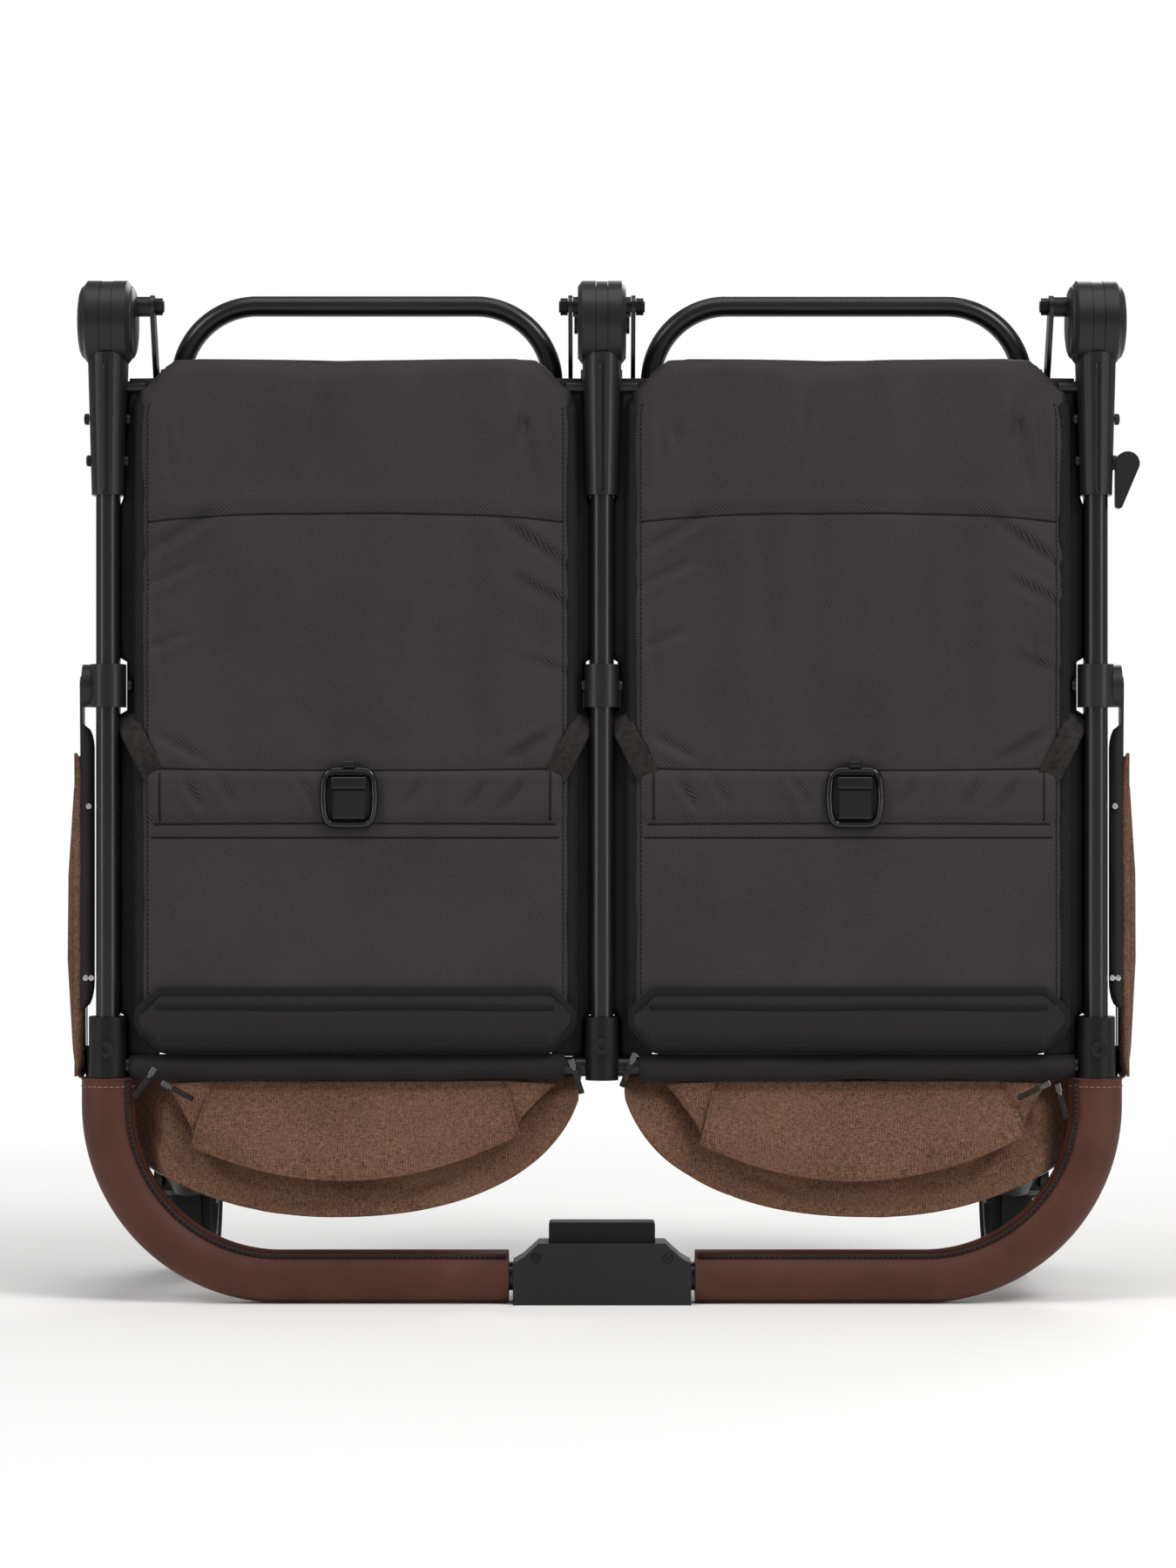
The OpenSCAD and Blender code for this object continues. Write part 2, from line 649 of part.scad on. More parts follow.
// Rear frame
module rear_leg(s) {
  color(tube_black) difference() {
    union() {
      x_cyl(rear_eye_r, s * leg_x - rear_eye_half, s * leg_x + rear_eye_half, rear_pivot_y, rear_pivot_z);
      z_cyl(rear_leg_d / 2, rear_axle_z, rear_pivot_z - 6, s * leg_x, rear_pivot_y);
      x_cyl(axle_boss_r, s * (leg_x - axle_boss_half), s * (leg_x + axle_boss_half), rear_pivot_y,
        rear_axle_z);
      x_cyl(6, s * leg_x, s * (rear_end + 2), rear_pivot_y, rear_axle_z);
      x_cyl(11, s * (rear_end + run_gap), s * (rear_end + 4), rear_pivot_y, rear_axle_z);
    }
    for (t = [-1, 1])
      x_cyl(rear_eye_r + 4, s * leg_x + t * rear_eye_half, s * leg_x + t * 14, rear_pivot_y, rear_pivot_z);
    x_cyl(rear_pin_r + run_gap, s * leg_x - 9, s * leg_x + 9, rear_pivot_y, rear_pivot_z);
  }
}

module rear_axle_bar() {
  color(tube_black) x_cyl(9, -leg_x + axle_boss_half, leg_x - axle_boss_half, rear_pivot_y, rear_axle_z);
}

module brake_pedal() {
  color(plastic_black) translate([leg_x - 90, rear_pivot_y, rear_axle_z]) difference() {
    union() {
      x_cyl(13, -22, 22);
      translate([-22, 4, -6]) cube([44, 42, 9]);
      x_cyl(4.5, -22, 22, 46, -1.5);
      for (i = [0 : 3]) translate([-18, 22 + 6 * i, 2]) cube([36, 2.5, 2.5]);
    }
    x_cyl(9 + run_gap, -23, 23);
  }
}

// Spoked rim with a hub, for both wheel sizes
module rim(x, y, z, w, r, hub_r, bore) {
  translate([x, y, z]) difference() {
    union() {
      x_cyl(hub_r, -w / 2, w / 2);
      difference() {
        x_cyl(r, -w / 2 + 2, w / 2 - 2);
        x_cyl(r - 7, -w, w);
      }
      for (i = [0 : 4])
        rotate([72 * i, 0, 0]) translate([-w / 4, -6, hub_r - 2]) cube([w / 2, 12, r - hub_r - 3]);
    }
    x_cyl(bore, -w, w);
  }
}

module tyre(x, y, z, w, r, rim_r) {
  translate([x, y, z]) rotate([0, 90, 0]) rotate_extrude() {
    translate([rim_r + fit_gap, -w / 2 + 2]) square([r - rim_r - 7, w - 4]);
    for (t = [-1, 1]) translate([r - 9, t * (w / 2 - 6)]) circle(r = 6);
    translate([r - 9, -w / 2 + 7]) square([9, w - 14]);
  }
}

module rear_wheel(s) {
  color(rubber_grey) rim(s * rear_wheel_x, rear_pivot_y, rear_axle_z, rear_wheel_w - 2 * run_gap,
    rear_wheel_d / 2 - 20, 17, 6 + run_gap);
}

module rear_tyre(s) {
  color(tube_black) tyre(s * rear_wheel_x, rear_pivot_y, rear_axle_z, rear_wheel_w - 2 * run_gap,
    rear_wheel_d / 2, rear_wheel_d / 2 - 20);
}

// Front castors, built round the tilted castor axis
module castor_frame(s) {
  translate([s * leg_x, leg_y, castor_z]) rotate([castor_rake, 0, 0]) children();
}

module castor_fork(s) {
  gap = front_wheel_w / 2 + 3;
  color(plastic_black) castor_frame(s) difference() {
    union() {
      z_cyl(8 - run_gap, -25, 17);
      z_cyl(17, -36, -22 - run_gap);
      translate([-gap - 6, -14, -42]) cube([2 * gap + 12, 28, 10]);
      for (t = [-1, 1]) side_plate(t * gap, t * (gap + 6))
        link_outline([0, -40], 14, [castor_trail, -castor_drop], 11);
    }
    x_cyl(wheel_r + 4, -gap, gap, castor_trail, -castor_drop);
  }
  color(steel) castor_frame(s) x_cyl(5, -gap - 4, gap + 4, castor_trail, -castor_drop);
}

module front_wheel(s) {
  color(rubber_grey) castor_frame(s)
    rim(0, castor_trail, -castor_drop, front_wheel_w, wheel_r - 17, 14, 5 + run_gap);
}

module front_tyre(s) {
  color(tube_black) castor_frame(s)
    tyre(0, castor_trail, -castor_drop, front_wheel_w, wheel_r, wheel_r - 17);
}

at_origin() front_leg(-1);  // front_leg_left
at_origin() front_leg(1);  // front_leg_right
at_origin() front_crossbar();
at_origin() center_strut();
at_origin() hinge_lug(-track, -leg_x, leg_d);  // hinge_lug_left
at_origin() hinge_lug(0, 0, 18);  // hinge_lug_center
at_origin() hinge_lug(track, leg_x, leg_d);  // hinge_lug_right
at_origin() castor_housing(-1);  // castor_housing_left
at_origin() castor_housing(1);  // castor_housing_right
at_origin() rear_pivot_brackets();
at_origin() basket();
at_origin() upright(-track);  // upright_left
at_origin() upright(0);  // upright_center
at_origin() upright(track);  // upright_right
at_origin() hinge_head(-track, [1]);  // hinge_head_left
at_origin() hinge_head(0, [-1, 1]);  // hinge_head_center
at_origin() hinge_head(track, [-1]);  // hinge_head_right
at_origin() hinge_bolts();
at_origin() canopy_collars();
at_origin() handle_brackets();
at_origin() center_bracket();
at_origin() handle_crossbar();
at_origin() bracket_screws();
at_origin() handle_tube();
at_origin() grip(-1);  // grip_left
at_origin() grip(1);  // grip_right
at_origin() release_housing();
at_origin() release_trigger();
at_origin() storage_catch();
at_origin() back_panel(-1);  // back_left
at_origin() back_panel(1);  // back_right
at_origin() recline_buckle(-1);  // recline_buckle_left
at_origin() recline_buckle(1);  // recline_buckle_right
at_origin() recline_strap(-1);  // recline_strap_left
at_origin() recline_strap(1);  // recline_strap_right
at_origin() seat_hoop(-1);  // seat_hoop_left
at_origin() seat_hoop(1);  // seat_hoop_right
at_origin() hanger_plates();
at_origin() seat_pad(-1);  // seat_pad_left
at_origin() seat_pad(1);  // seat_pad_right
at_origin() canopy(-1);  // canopy_left
at_origin() canopy(1);  // canopy_right
at_origin() canopy_bow(-1);  // canopy_bow_left
at_origin() canopy_bow(1);  // canopy_bow_right
at_origin() rear_leg(-1);  // rear_leg_left
at_origin() rear_leg(1);  // rear_leg_right
at_origin() rear_axle_bar();
at_origin() brake_pedal();
at_origin() rear_wheel(-1);  // rear_wheel_left
at_origin() rear_wheel(1);  // rear_wheel_right
at_origin() rear_tyre(-1);  // rear_tyre_left
at_origin() rear_tyre(1);  // rear_tyre_right
at_origin() castor_fork(-1);  // castor_fork_left
at_origin() castor_fork(1);  // castor_fork_right
at_origin() front_wheel(-1);  // front_wheel_left
at_origin() front_wheel(1);  // front_wheel_right
at_origin() front_tyre(-1);  // front_tyre_left
at_origin() front_tyre(1);  // front_tyre_right
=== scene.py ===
import math

import bmesh
import bpy
from mathutils import Matrix, Vector, noise
from mathutils.bvhtree import BVHTree
from mathutils.kdtree import KDTree


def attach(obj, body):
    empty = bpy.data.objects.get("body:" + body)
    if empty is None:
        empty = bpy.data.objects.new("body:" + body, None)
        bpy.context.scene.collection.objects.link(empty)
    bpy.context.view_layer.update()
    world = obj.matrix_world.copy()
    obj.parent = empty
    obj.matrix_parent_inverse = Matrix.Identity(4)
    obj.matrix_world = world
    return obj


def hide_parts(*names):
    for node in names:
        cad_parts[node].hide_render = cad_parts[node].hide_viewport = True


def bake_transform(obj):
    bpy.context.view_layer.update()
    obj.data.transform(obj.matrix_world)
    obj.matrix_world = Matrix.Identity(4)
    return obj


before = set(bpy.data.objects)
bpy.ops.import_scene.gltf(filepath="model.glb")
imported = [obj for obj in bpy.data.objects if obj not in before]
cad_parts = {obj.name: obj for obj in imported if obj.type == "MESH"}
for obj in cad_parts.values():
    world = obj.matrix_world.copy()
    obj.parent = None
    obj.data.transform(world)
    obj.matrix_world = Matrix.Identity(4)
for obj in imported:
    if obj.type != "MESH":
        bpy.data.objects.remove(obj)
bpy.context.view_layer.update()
print("frame loaded")

depthMid = 120.479  # design depth that the frame has at y = 0, in mm
backX = 172.0  # middle of a seat back, mm from the centre upright
track = 345.0  # outer uprights, mm from the centre upright
sides = {"left": -1, "right": 1}
photo = {"middle": 691, "floor": 1495, "scale": 0.609}  # pixel of the centre upright, of the floor, and mm a pixel
allAxes = {"use_axis_x": True, "use_axis_y": True, "use_axis_z": True}


def at(x, y, z):
    return Vector((x, y - depthMid, z)) / 1000


def photoPoint(px, py, y):
    return at((px - photo["middle"]) * photo["scale"], y, (photo["floor"] - py) * photo["scale"])


def linear(hexColour):
    parts = [int(hexColour[i:i + 2], 16) / 255 for i in (1, 3, 5)]
    return [c / 12.92 if c <= 0.04045 else ((c + 0.055) / 1.055) ** 2.4 for c in parts] + [1.0]


def smoothStep(low, high, value):
    t = min(1.0, max(0.0, (value - low) / (high - low)))
    return t * t * (3 - 2 * t)


def bell(value, width):
    return math.exp(-(value / width) ** 2)


# Points of a circular arc, angles in whole degrees
def arc(across, up, radius, angles):
    turns = [math.radians(a) for a in angles]
    return [(across + radius * math.cos(a), up + radius * math.sin(a)) for a in turns]


# Settings are a node's own attributes, its sockets by name or number, or the stops of a colour ramp
def addNode(tree, kind, settings=None, **links):
    node = tree.nodes.new(kind)
    for key, value in (settings or {}).items():
        if key == "stops":
            for stop, (place, colour) in zip(node.color_ramp.elements, value):
                stop.position = place
                stop.color = linear(colour)
        elif isinstance(key, str) and hasattr(node, key):
            setattr(node, key, value)
        else:
            node.inputs[key].default_value = value
    for name, source in links.items():
        socket = int(name[1:]) if name[1:].isdigit() else name.replace("_", " ")
        tree.links.new(source, node.inputs[socket])
    return node


def startMaterial(name, rough, metal=0.0, spec=0.5, sheen=0.0):
    mat = bpy.data.materials.new(name)
    mat.use_nodes = True
    tree = mat.node_tree
    shader = tree.nodes["Principled BSDF"]
    shader.inputs["Roughness"].default_value = rough
    shader.inputs["Metallic"].default_value = metal
    shader.inputs["Specular IOR Level"].default_value = spec
    shader.inputs["Sheen Weight"].default_value = sheen
    shader.inputs["Sheen Roughness"].default_value = 0.4
    return mat, tree, shader, addNode(tree, "ShaderNodeTexCoord").outputs["Object"]


waveBand = 0.6283  # a wave texture's slanting band repeats after this much of x + y + z, in metres at a scale of 1


# Woven cloth: slanting or upright ribs under crossed yarns. Real ribs are near 0.8 mm; they are drawn at 1.5 to
# 1.8 mm so that the weave shows at this image size
def wovenCloth(name, dark, light, ribMm, rough, sheen, slub=0.0, cross=False):
    mat, tree, shader, spot = startMaterial(name, rough, 0.0, 0.2, sheen)
    ribScale = waveBand / (ribMm / 1000 * 1.414) * (0.7 if cross else 1.0)
    rib = addNode(tree, "ShaderNodeTexWave", {"bands_direction": "X" if cross else "DIAGONAL", "Distortion": 0.6,
        "Detail": 1.0, "Scale": ribScale}, Vector=spot)
    broad = addNode(tree, "ShaderNodeTexNoise", {"Scale": 14.0, "Detail": 3.0, "Roughness": 0.5}, Vector=spot)
    yarnLook = {"Scale": 280.0 + 300.0 * (1 - slub), "Detail": 2.0, "Roughness": 0.6}
    yarns = []
    for stretch in ((1.0, 1.0, 7.0), (7.0, 1.0, 1.0)):
        drawn = addNode(tree, "ShaderNodeMapping", {"Scale": stretch}, Vector=spot)
        yarns.append(addNode(tree, "ShaderNodeTexNoise", yarnLook, Vector=drawn.outputs[0]).outputs["Fac"])
    yarn = addNode(tree, "ShaderNodeMath", {"operation": "ADD"}, i0=yarns[0], i1=yarns[1])
    shares = [(broad.outputs["Fac"], 0.15 - 0.05 * slub), (rib.outputs["Fac"], 0.3 - 0.3 * slub),
        (yarn.outputs[0], 0.5 * (0.55 + 0.3 * slub))]
    weighed = [addNode(tree, "ShaderNodeMath", {"operation": "MULTIPLY", 1: share}, i0=source).outputs[0]
        for source, share in shares]
    ribbed = addNode(tree, "ShaderNodeMath", {"operation": "ADD"}, i0=weighed[0], i1=weighed[1])
    weave = addNode(tree, "ShaderNodeMath", {"operation": "ADD"}, i0=ribbed.outputs[0], i1=weighed[2]).outputs[0]
    stops = ((0.3 + 0.1 * slub, dark), (0.7 - 0.1 * slub, light))
    colour = addNode(tree, "ShaderNodeValToRGB", {"stops": stops}, i0=weave)
    relief = addNode(tree, "ShaderNodeBump", {"Distance": 0.0005, "Strength": 0.3}, Height=weave)
    tree.links.new(colour.outputs["Color"], shader.inputs["Base Color"])
    tree.links.new(relief.outputs["Normal"], shader.inputs["Normal"])
    return mat


# Hard finishes: fine grain in the relief, broad change in colour and gloss. Real grain is near 0.1 mm; it is drawn
# at 0.6 to 1.5 mm so that it shows at this image size
def grained(name, dark, light, grainMm, rough, metal=0.0, bump=0.2, depth=0.0002, spec=0.5):
    mat, tree, shader, spot = startMaterial(name, rough, metal, spec)
    grain = addNode(tree, "ShaderNodeTexNoise", {"Scale": 1000 / grainMm / 2, "Detail": 2.0}, Vector=spot)
    broad = addNode(tree, "ShaderNodeTexNoise", {"Scale": 9.0, "Detail": 3.0}, Vector=spot).outputs["Fac"]
    colour = addNode(tree, "ShaderNodeValToRGB", {"stops": ((0.3, dark), (0.7, light))}, i0=broad)
    gloss = addNode(tree, "ShaderNodeMapRange", {"To Min": rough - 0.06, "To Max": rough + 0.08}, Value=broad)
    relief = addNode(tree, "ShaderNodeBump", {"Distance": depth, "Strength": bump}, Height=grain.outputs["Fac"])
    tree.links.new(colour.outputs["Color"], shader.inputs["Base Color"])
    tree.links.new(gloss.outputs[0], shader.inputs["Roughness"])
    tree.links.new(relief.outputs["Normal"], shader.inputs["Normal"])
    return mat


# Leatherette: pebbled film over foam. Real pebbles are near 0.8 mm, drawn at 1.2 to 1.5 mm so that they show
def pebbled(name, dark, light, grainMm, rough):
    mat, tree, shader, spot = startMaterial(name, rough, 0.0, 0.25)
    cells = addNode(tree, "ShaderNodeTexVoronoi", {"Scale": 1000 / grainMm, "Randomness": 0.9}, Vector=spot)
    broad = addNode(tree, "ShaderNodeTexNoise", {"Scale": 22.0, "Detail": 4.0}, Vector=spot)
    colour = addNode(tree, "ShaderNodeValToRGB", {"stops": ((0.3, dark), (0.7, light))}, i0=broad.outputs["Fac"])
    relief = addNode(tree, "ShaderNodeBump", {"Distance": 0.0005, "Strength": 0.22}, Height=cells.outputs["Distance"])
    tree.links.new(colour.outputs["Color"], shader.inputs["Base Color"])
    tree.links.new(relief.outputs["Normal"], shader.inputs["Normal"])
    return mat


# Ribbed webbing and binding tape: fine slanting ribs, near 1 mm in the real ones, drawn at 2.2 mm so that they show
def ribbedTape(name, dark, light, rough, ribMm=2.2):
    mat, tree, shader, spot = startMaterial(name, rough, 0.0, 0.2, 0.05)
    rib = addNode(tree, "ShaderNodeTexWave", {"bands_direction": "DIAGONAL", "Distortion": 0.3,
        "Scale": waveBand / (ribMm / 1000)}, Vector=spot)
    # Light flecks along the ribs; in the webbing's lighter colours they are painted highlights where the yarn shines
    fleck = addNode(tree, "ShaderNodeTexNoise", {"Scale": 240.0, "Detail": 1.0}, Vector=spot)
    both = addNode(tree, "ShaderNodeMath", {"operation": "MULTIPLY"}, i0=rib.outputs["Fac"], i1=fleck.outputs["Fac"])
    colour = addNode(tree, "ShaderNodeValToRGB", {"stops": ((0.1, dark), (0.6, light))}, i0=both.outputs[0])
    relief = addNode(tree, "ShaderNodeBump", {"Distance": 0.0004, "Strength": 0.4}, Height=both.outputs[0])
    tree.links.new(colour.outputs["Color"], shader.inputs["Base Color"])
    tree.links.new(relief.outputs["Normal"], shader.inputs["Normal"])
    return mat


# Polyester twill, dyed in the piece: warm black with faint slanting ribs, and folds that catch a dull grey light
twill = wovenCloth("blackPolyesterTwill", "#161213", "#433e3f", 1.5, 0.68, 0.04)
# Thin polyester lining, plain woven: flat charcoal with hardly any shine, so it sinks back beside the twill
twillDark = wovenCloth("blackLiningCloth", "#1b191a", "#2a2727", 1.6, 0.8, 0.03)
# Melange upholstery weave: dark and light brown yarns side by side, flecked and dry, with no gloss
melange = wovenCloth("brownMelangeWeave", "#40291c", "#876450", 1.8, 0.85, 0.06, slub=0.85, cross=True)
# Woven polyester binding, folded and pressed: a deep black edge with a dry ribbed face
tape = ribbedTape("blackBindingTape", "#0f0e0e", "#1d1b1b", 0.78)
# Nylon webbing, tightly woven: black ribs with small light flecks that are painted highlights where the yarn shines
webbing = ribbedTape("blackNylonWebbing", "#0b0a0a", "#38332f", 0.65)
# Metal tube, sprayed and baked in satin powder: near black, with long soft highlights and a slight orange peel
powderCoat = grained("satinBlackPowderCoat", "#0d0c0c", "#151413", 0.9, 0.27, bump=0.08, spec=0.42)
# Nylon from a sparked mould: soft black with broad, slightly broken highlights
moulded = grained("mouldedBlackNylon", "#11100f", "#1a1918", 0.8, 0.36, bump=0.18, spec=0.36)
# Nylon from a coarser mould: a deeper black that takes little light
mouldedDark = grained("mouldedDeepBlackNylon", "#070606", "#0d0c0c", 0.8, 0.48, bump=0.2, spec=0.24)
# Die-cast zinc, plated in gunmetal: mid grey metal with small bright edges
gunmetal = grained("gunmetalZipSlider", "#4c4c4b", "#737371", 1.0, 0.28, metal=1.0, bump=0.05)
# Acetal from a polished mould: black with sharp, narrow highlights
glossPlastic = grained("glossBlackAcetal", "#0c0c0c", "#151515", 1.5, 0.16, bump=0.05, spec=0.45)
# Steel, turned and blackened in a bath: dark metal that brightens only at its rims
blackened = grained("blackenedSteelBolt", "#232323", "#343332", 1.0, 0.34, metal=0.9, bump=0.08)
# Zinc, pressed and nickel plated: pale metal that mirrors the white surround
nickel = grained("nickelPlatedZinc", "#a9a9a8", "#d2d2d0", 1.2, 0.22, metal=1.0, bump=0.05)
# Leatherette, embossed film on foam: warm brown with fine pebbles and a soft, low shine
leather = pebbled("brownLeatherette", "#422318", "#532e22", 1.5, 0.55)
# The same film, folded at a seam: a darker and flatter brown
leatherEdge = pebbled("darkLeatheretteSeam", "#1e120f", "#2f1c17", 1.2, 0.6)
# Spun polyester thread: dull black, seen as short raised dashes
thread = grained("blackSewingThread", "#0d0c0c", "#181616", 0.6, 0.75, bump=0.3, spec=0.2)
# Spun polyester thread, dyed tan: light dashes against the brown
threadTan = grained("tanSewingThread", "#8a5f4e", "#a67a66", 0.6, 0.75, bump=0.3, spec=0.2)
# Foamed rubber, moulded: matt charcoal with an open grain and no highlight
rubber = grained("foamRubberTyre", "#1a1a1a", "#242424", 1.2, 0.82, bump=0.4, depth=0.0004, spec=0.25)
# Grey nylon, moulded: even dark grey with a faint shine at the edges
rimPlastic = grained("mouldedGreyNylon", "#2c2c2d", "#3a3a3b", 0.9, 0.5, bump=0.2, spec=0.3)
print("materials made")

# Finish of each solid of the frame, by the start of its name; the rest are moulded nylon
nodeFinish = {
    "front_leg": powderCoat, "front_crossbar": powderCoat, "center_strut": powderCoat, "upright": powderCoat,
    "handle_crossbar": powderCoat, "handle_tube": powderCoat, "seat_hoop": powderCoat, "hanger_plates": powderCoat,
    "canopy_bow": powderCoat, "rear_leg": powderCoat, "rear_axle_bar": powderCoat, "hinge_bolts": blackened,
    "bracket_screws": blackened, "grip": leather, "rear_wheel": rimPlastic, "front_wheel": rimPlastic,
    "rear_tyre": rubber, "front_tyre": rubber, "recline_buckle": glossPlastic, "release_trigger": mouldedDark,
    "handle_brackets": mouldedDark, "center_bracket": mouldedDark}
for nodeName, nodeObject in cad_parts.items():
    finish = next((m for key, m in nodeFinish.items() if nodeName.startswith(key)), moulded)
    nodeObject.data.materials.clear()
    nodeObject.data.materials.append(finish)
print("frame finished")


def addPiece(name, bm, mat, body, stands=(), smooth=True):
    mesh = bpy.data.meshes.new(name)
    bm.normal_update()
    bm.to_mesh(mesh)
    bm.free()
    piece = bpy.data.objects.new(name, mesh)
    bpy.context.collection.objects.link(piece)
    mesh.materials.append(mat)
    for face in mesh.polygons:
        face.use_smooth = smooth
    if body:
        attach(piece, body)
    if stands:
        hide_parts(*stands)
    return piece


# Round cord along points, closed or open, made with a curve and kept as a mesh; flatten scales its depth
def addCordMesh(name, points, radius, mat, body, closed=False, flatten=None, stands=()):
    curve = bpy.data.curves.new(name, "CURVE")
    curve.dimensions = "3D"
    curve.bevel_depth = radius
    curve.bevel_resolution = 2
    curve.use_fill_caps = True
    spline = curve.splines.new("POLY")
    spline.points.add(len(points) - 1)
    for knot, p in zip(spline.points, points):
        knot.co = (p.x, p.y, p.z, 1)
    spline.use_cyclic_u = closed
    holder = bpy.data.objects.new(name + "Curve", curve)
    bm = bmesh.new()
    bm.from_mesh(holder.to_mesh())
    bpy.data.objects.remove(holder)
    if flatten:
        near = KDTree(len(points))
        for i, p in enumerate(points):
            near.insert((p.x, 0, p.z), i)
        near.balance()
        for v in bm.verts:
            middle = points[near.find((v.co.x, 0, v.co.z))[1]].y
            v.co.y = middle + (v.co.y - middle) * flatten
    bmesh.ops.remove_doubles(bm, verts=bm.verts, dist=0.00001)
    bmesh.ops.recalc_face_normals(bm, faces=bm.faces)
    return addPiece(name, bm, mat, body, stands)


# Row of stitches: short rounded pegs along a path, just proud of the cloth
def addStitches(name, points, mat, body, pitch=0.0032, radius=0.00035, tilt=0.0):
    bm = bmesh.new()
    run = 0.0
    due = 0.0
    for a, b in zip(points, points[1:]):
        step = (b - a).length
        while due <= run + step and step > 0:
            middle = a.lerp(b, (due - run) / step)
            turn = (b - a).to_track_quat("Z", "Y").to_matrix().to_4x4()
            peg = Matrix.Translation(middle) @ turn @ Matrix.Rotation(tilt, 4, "Y")
            bmesh.ops.create_cone(bm, cap_ends=True, segments=5, radius1=radius, radius2=radius,
                depth=pitch * 0.66, matrix=peg)
            due += pitch
        run += step
    return addPiece(name, bm, mat, body)


# Cloth over a grid of points, given a real thickness; its flat size and area are worked out but not used
def addSheet(name, columns, rows, place, thick, mat, body=None, stands=()):
    bm = bmesh.new()
    bmesh.ops.create_grid(bm, x_segments=columns, y_segments=rows, size=1.0)
    grid = {}
    for v in bm.verts:
        u, t = v.co.x, (1 - v.co.y) / 2
        v.co = place(u, t)
        grid[round((u + 1) / 2 * columns), round(t * rows)] = v.co.copy()
    width = max(sum((grid[i + 1, j] - grid[i, j]).length for i in range(columns)) for j in range(rows + 1))
    length = max(sum((grid[i, j + 1] - grid[i, j]).length for j in range(rows)) for i in range(columns + 1))
    flat = tuple(max(0.01, round(size, 4)) for size in (width, length))
    area = min(sum(f.calc_area() for f in bm.faces), flat[0] * flat[1])
    bmesh.ops.recalc_face_normals(bm, faces=bm.faces)
    piece = addPiece(name, bm, mat, body, stands)
    solid = piece.modifiers.new("thickness", "SOLIDIFY")
    solid.thickness = thick
    solid.offset = 0.0
    return piece


# Block with rounded edges, sizes in mm
def addBlock(bm, place, size, edge, segments):
    made = bmesh.ops.create_cube(bm, size=0.001, matrix=place @ Matrix.Diagonal((*size, 1.0)))["verts"]
    edges = list({e for v in made for e in v.link_edges})
    bmesh.ops.bevel(bm, geom=edges, offset=edge / 1000, segments=segments, profile=0.5, affect="EDGES", material=-1)


# Padded cloth: even skin by voxel remesh, then swollen by cloth pressure with the travel of each point capped;
# slack is the share of the travel along the panel that its bound edge lets through
def puffed(name, bm, voxel, pressure, cap, slack):
    mesh = bpy.data.meshes.new(name)
    bm.to_mesh(mesh)
    bm.free()
    pad = bpy.data.objects.new(name, mesh)
    bpy.context.collection.objects.link(pad)
    remesh = pad.modifiers.new("remesh", "REMESH")
    remesh.mode = "VOXEL"
    remesh.voxel_size = voxel
    bpy.context.view_layer.update()
    even = bpy.data.meshes.new_from_object(pad.evaluated_get(bpy.context.evaluated_depsgraph_get()))
    pad.modifiers.clear()
    pad.data = even
    skin = bmesh.new()
    skin.from_mesh(even)
    lastStep = 20
    cloth = pad.modifiers.new("cloth", "CLOTH")
    cloth.settings.quality = 4
    cloth.settings.mass = 0.3
    cloth.settings.use_pressure = True
    cloth.settings.uniform_pressure_force = pressure
    cloth.settings.effector_weights.gravity = 0
    cloth.collision_settings.use_collision = False
    cloth.point_cache.frame_end = lastStep
    for step in range(1, lastStep + 1):
        bpy.context.scene.frame_set(step)
    graph = bpy.context.evaluated_depsgraph_get()
    swollen = bpy.data.meshes.new_from_object(pad.evaluated_get(graph))
    for v, goal in zip(skin.verts, swollen.vertices):
        move = (goal.co - v.co) * Vector((slack, 1.0, slack))
        v.co += move * min(1.0, cap / max(move.length, 1e-9))
    bpy.context.scene.frame_set(1)
    bpy.data.objects.remove(pad)
    bmesh.ops.smooth_vert(skin, verts=skin.verts, factor=0.5, **allAxes)
    return skin


# Seat backs, mm: outline, seams by name, height, dip at the sides and reach, and the creases that the straps and
# edges pull, each from x and z to x and z with its width and depth
seatBack = {
    "halfWidth": 154.0, "low": 173.5, "top": 660.6, "shoulder": 20.0, "shoulderFrom": (112.0, 616.0), "crown": 10.2,
    "depth": 21.0, "tapeInset": 4.0, "tapeRadius": 4.4, "stitchInset": 9.2, "edgeSteps": 40, "sideSteps": 110,
    "seamZ": 552.0, "tunnelTop": 372.0, "tunnelLow": 337.0, "tunnelEnd": 136.0, "hemZ": 325.0,
    "columns": 60, "rows": 90, "voxel": 0.005, "pressure": 4.0, "cap": 0.004, "slack": 0.06,
    "seams": [("yoke", 551, 7, 144), ("tunnelTop", 372, -2, 138), ("tunnelLow", 335, 1, 140), ("hem", 325, 0, 142)],
    "creases": [
        (-150, 520, -92, 556, 7, 2.0), (-150, 498, -104, 520, 6, 1.8), (-148, 455, -112, 470, 6, 1.4),
        (150, 512, 96, 550, 7, 2.0), (150, 486, 108, 508, 6, 1.7), (148, 440, 116, 452, 6, 1.3),
        (-128, 640, -118, 590, 7, 1.5), (126, 640, 112, 596, 7, 1.5), (-20, 645, -28, 575, 11, 1.2),
        (-140, 398, -100, 376, 6, 2.0), (140, 400, 102, 378, 6, 2.0), (30, 540, 22, 430, 14, 1.1),
        (-60, 545, -52, 420, 16, 1.1), (84, 548, 76, 440, 14, 1.0), (-120, 366, -104, 342, 5, 2.4),
        (-96, 368, -84, 346, 5, 2.0), (118, 367, 100, 342, 5, 2.4), (92, 368, 78, 345, 5, 2.0),
        (-40, 366, -26, 344, 5, 1.8), (46, 367, 34, 345, 5, 1.8),
        (112, 650, 128, 556, 5, 1.7), (132, 640, 139, 562, 4, 1.5), (-132, 636, -128, 560, 6, 1.4),
        (138, 500, 128, 420, 6, 1.3), (-140, 500, -132, 410, 7, 1.2), (0, 318, -6, 240, 18, 0.8)]}


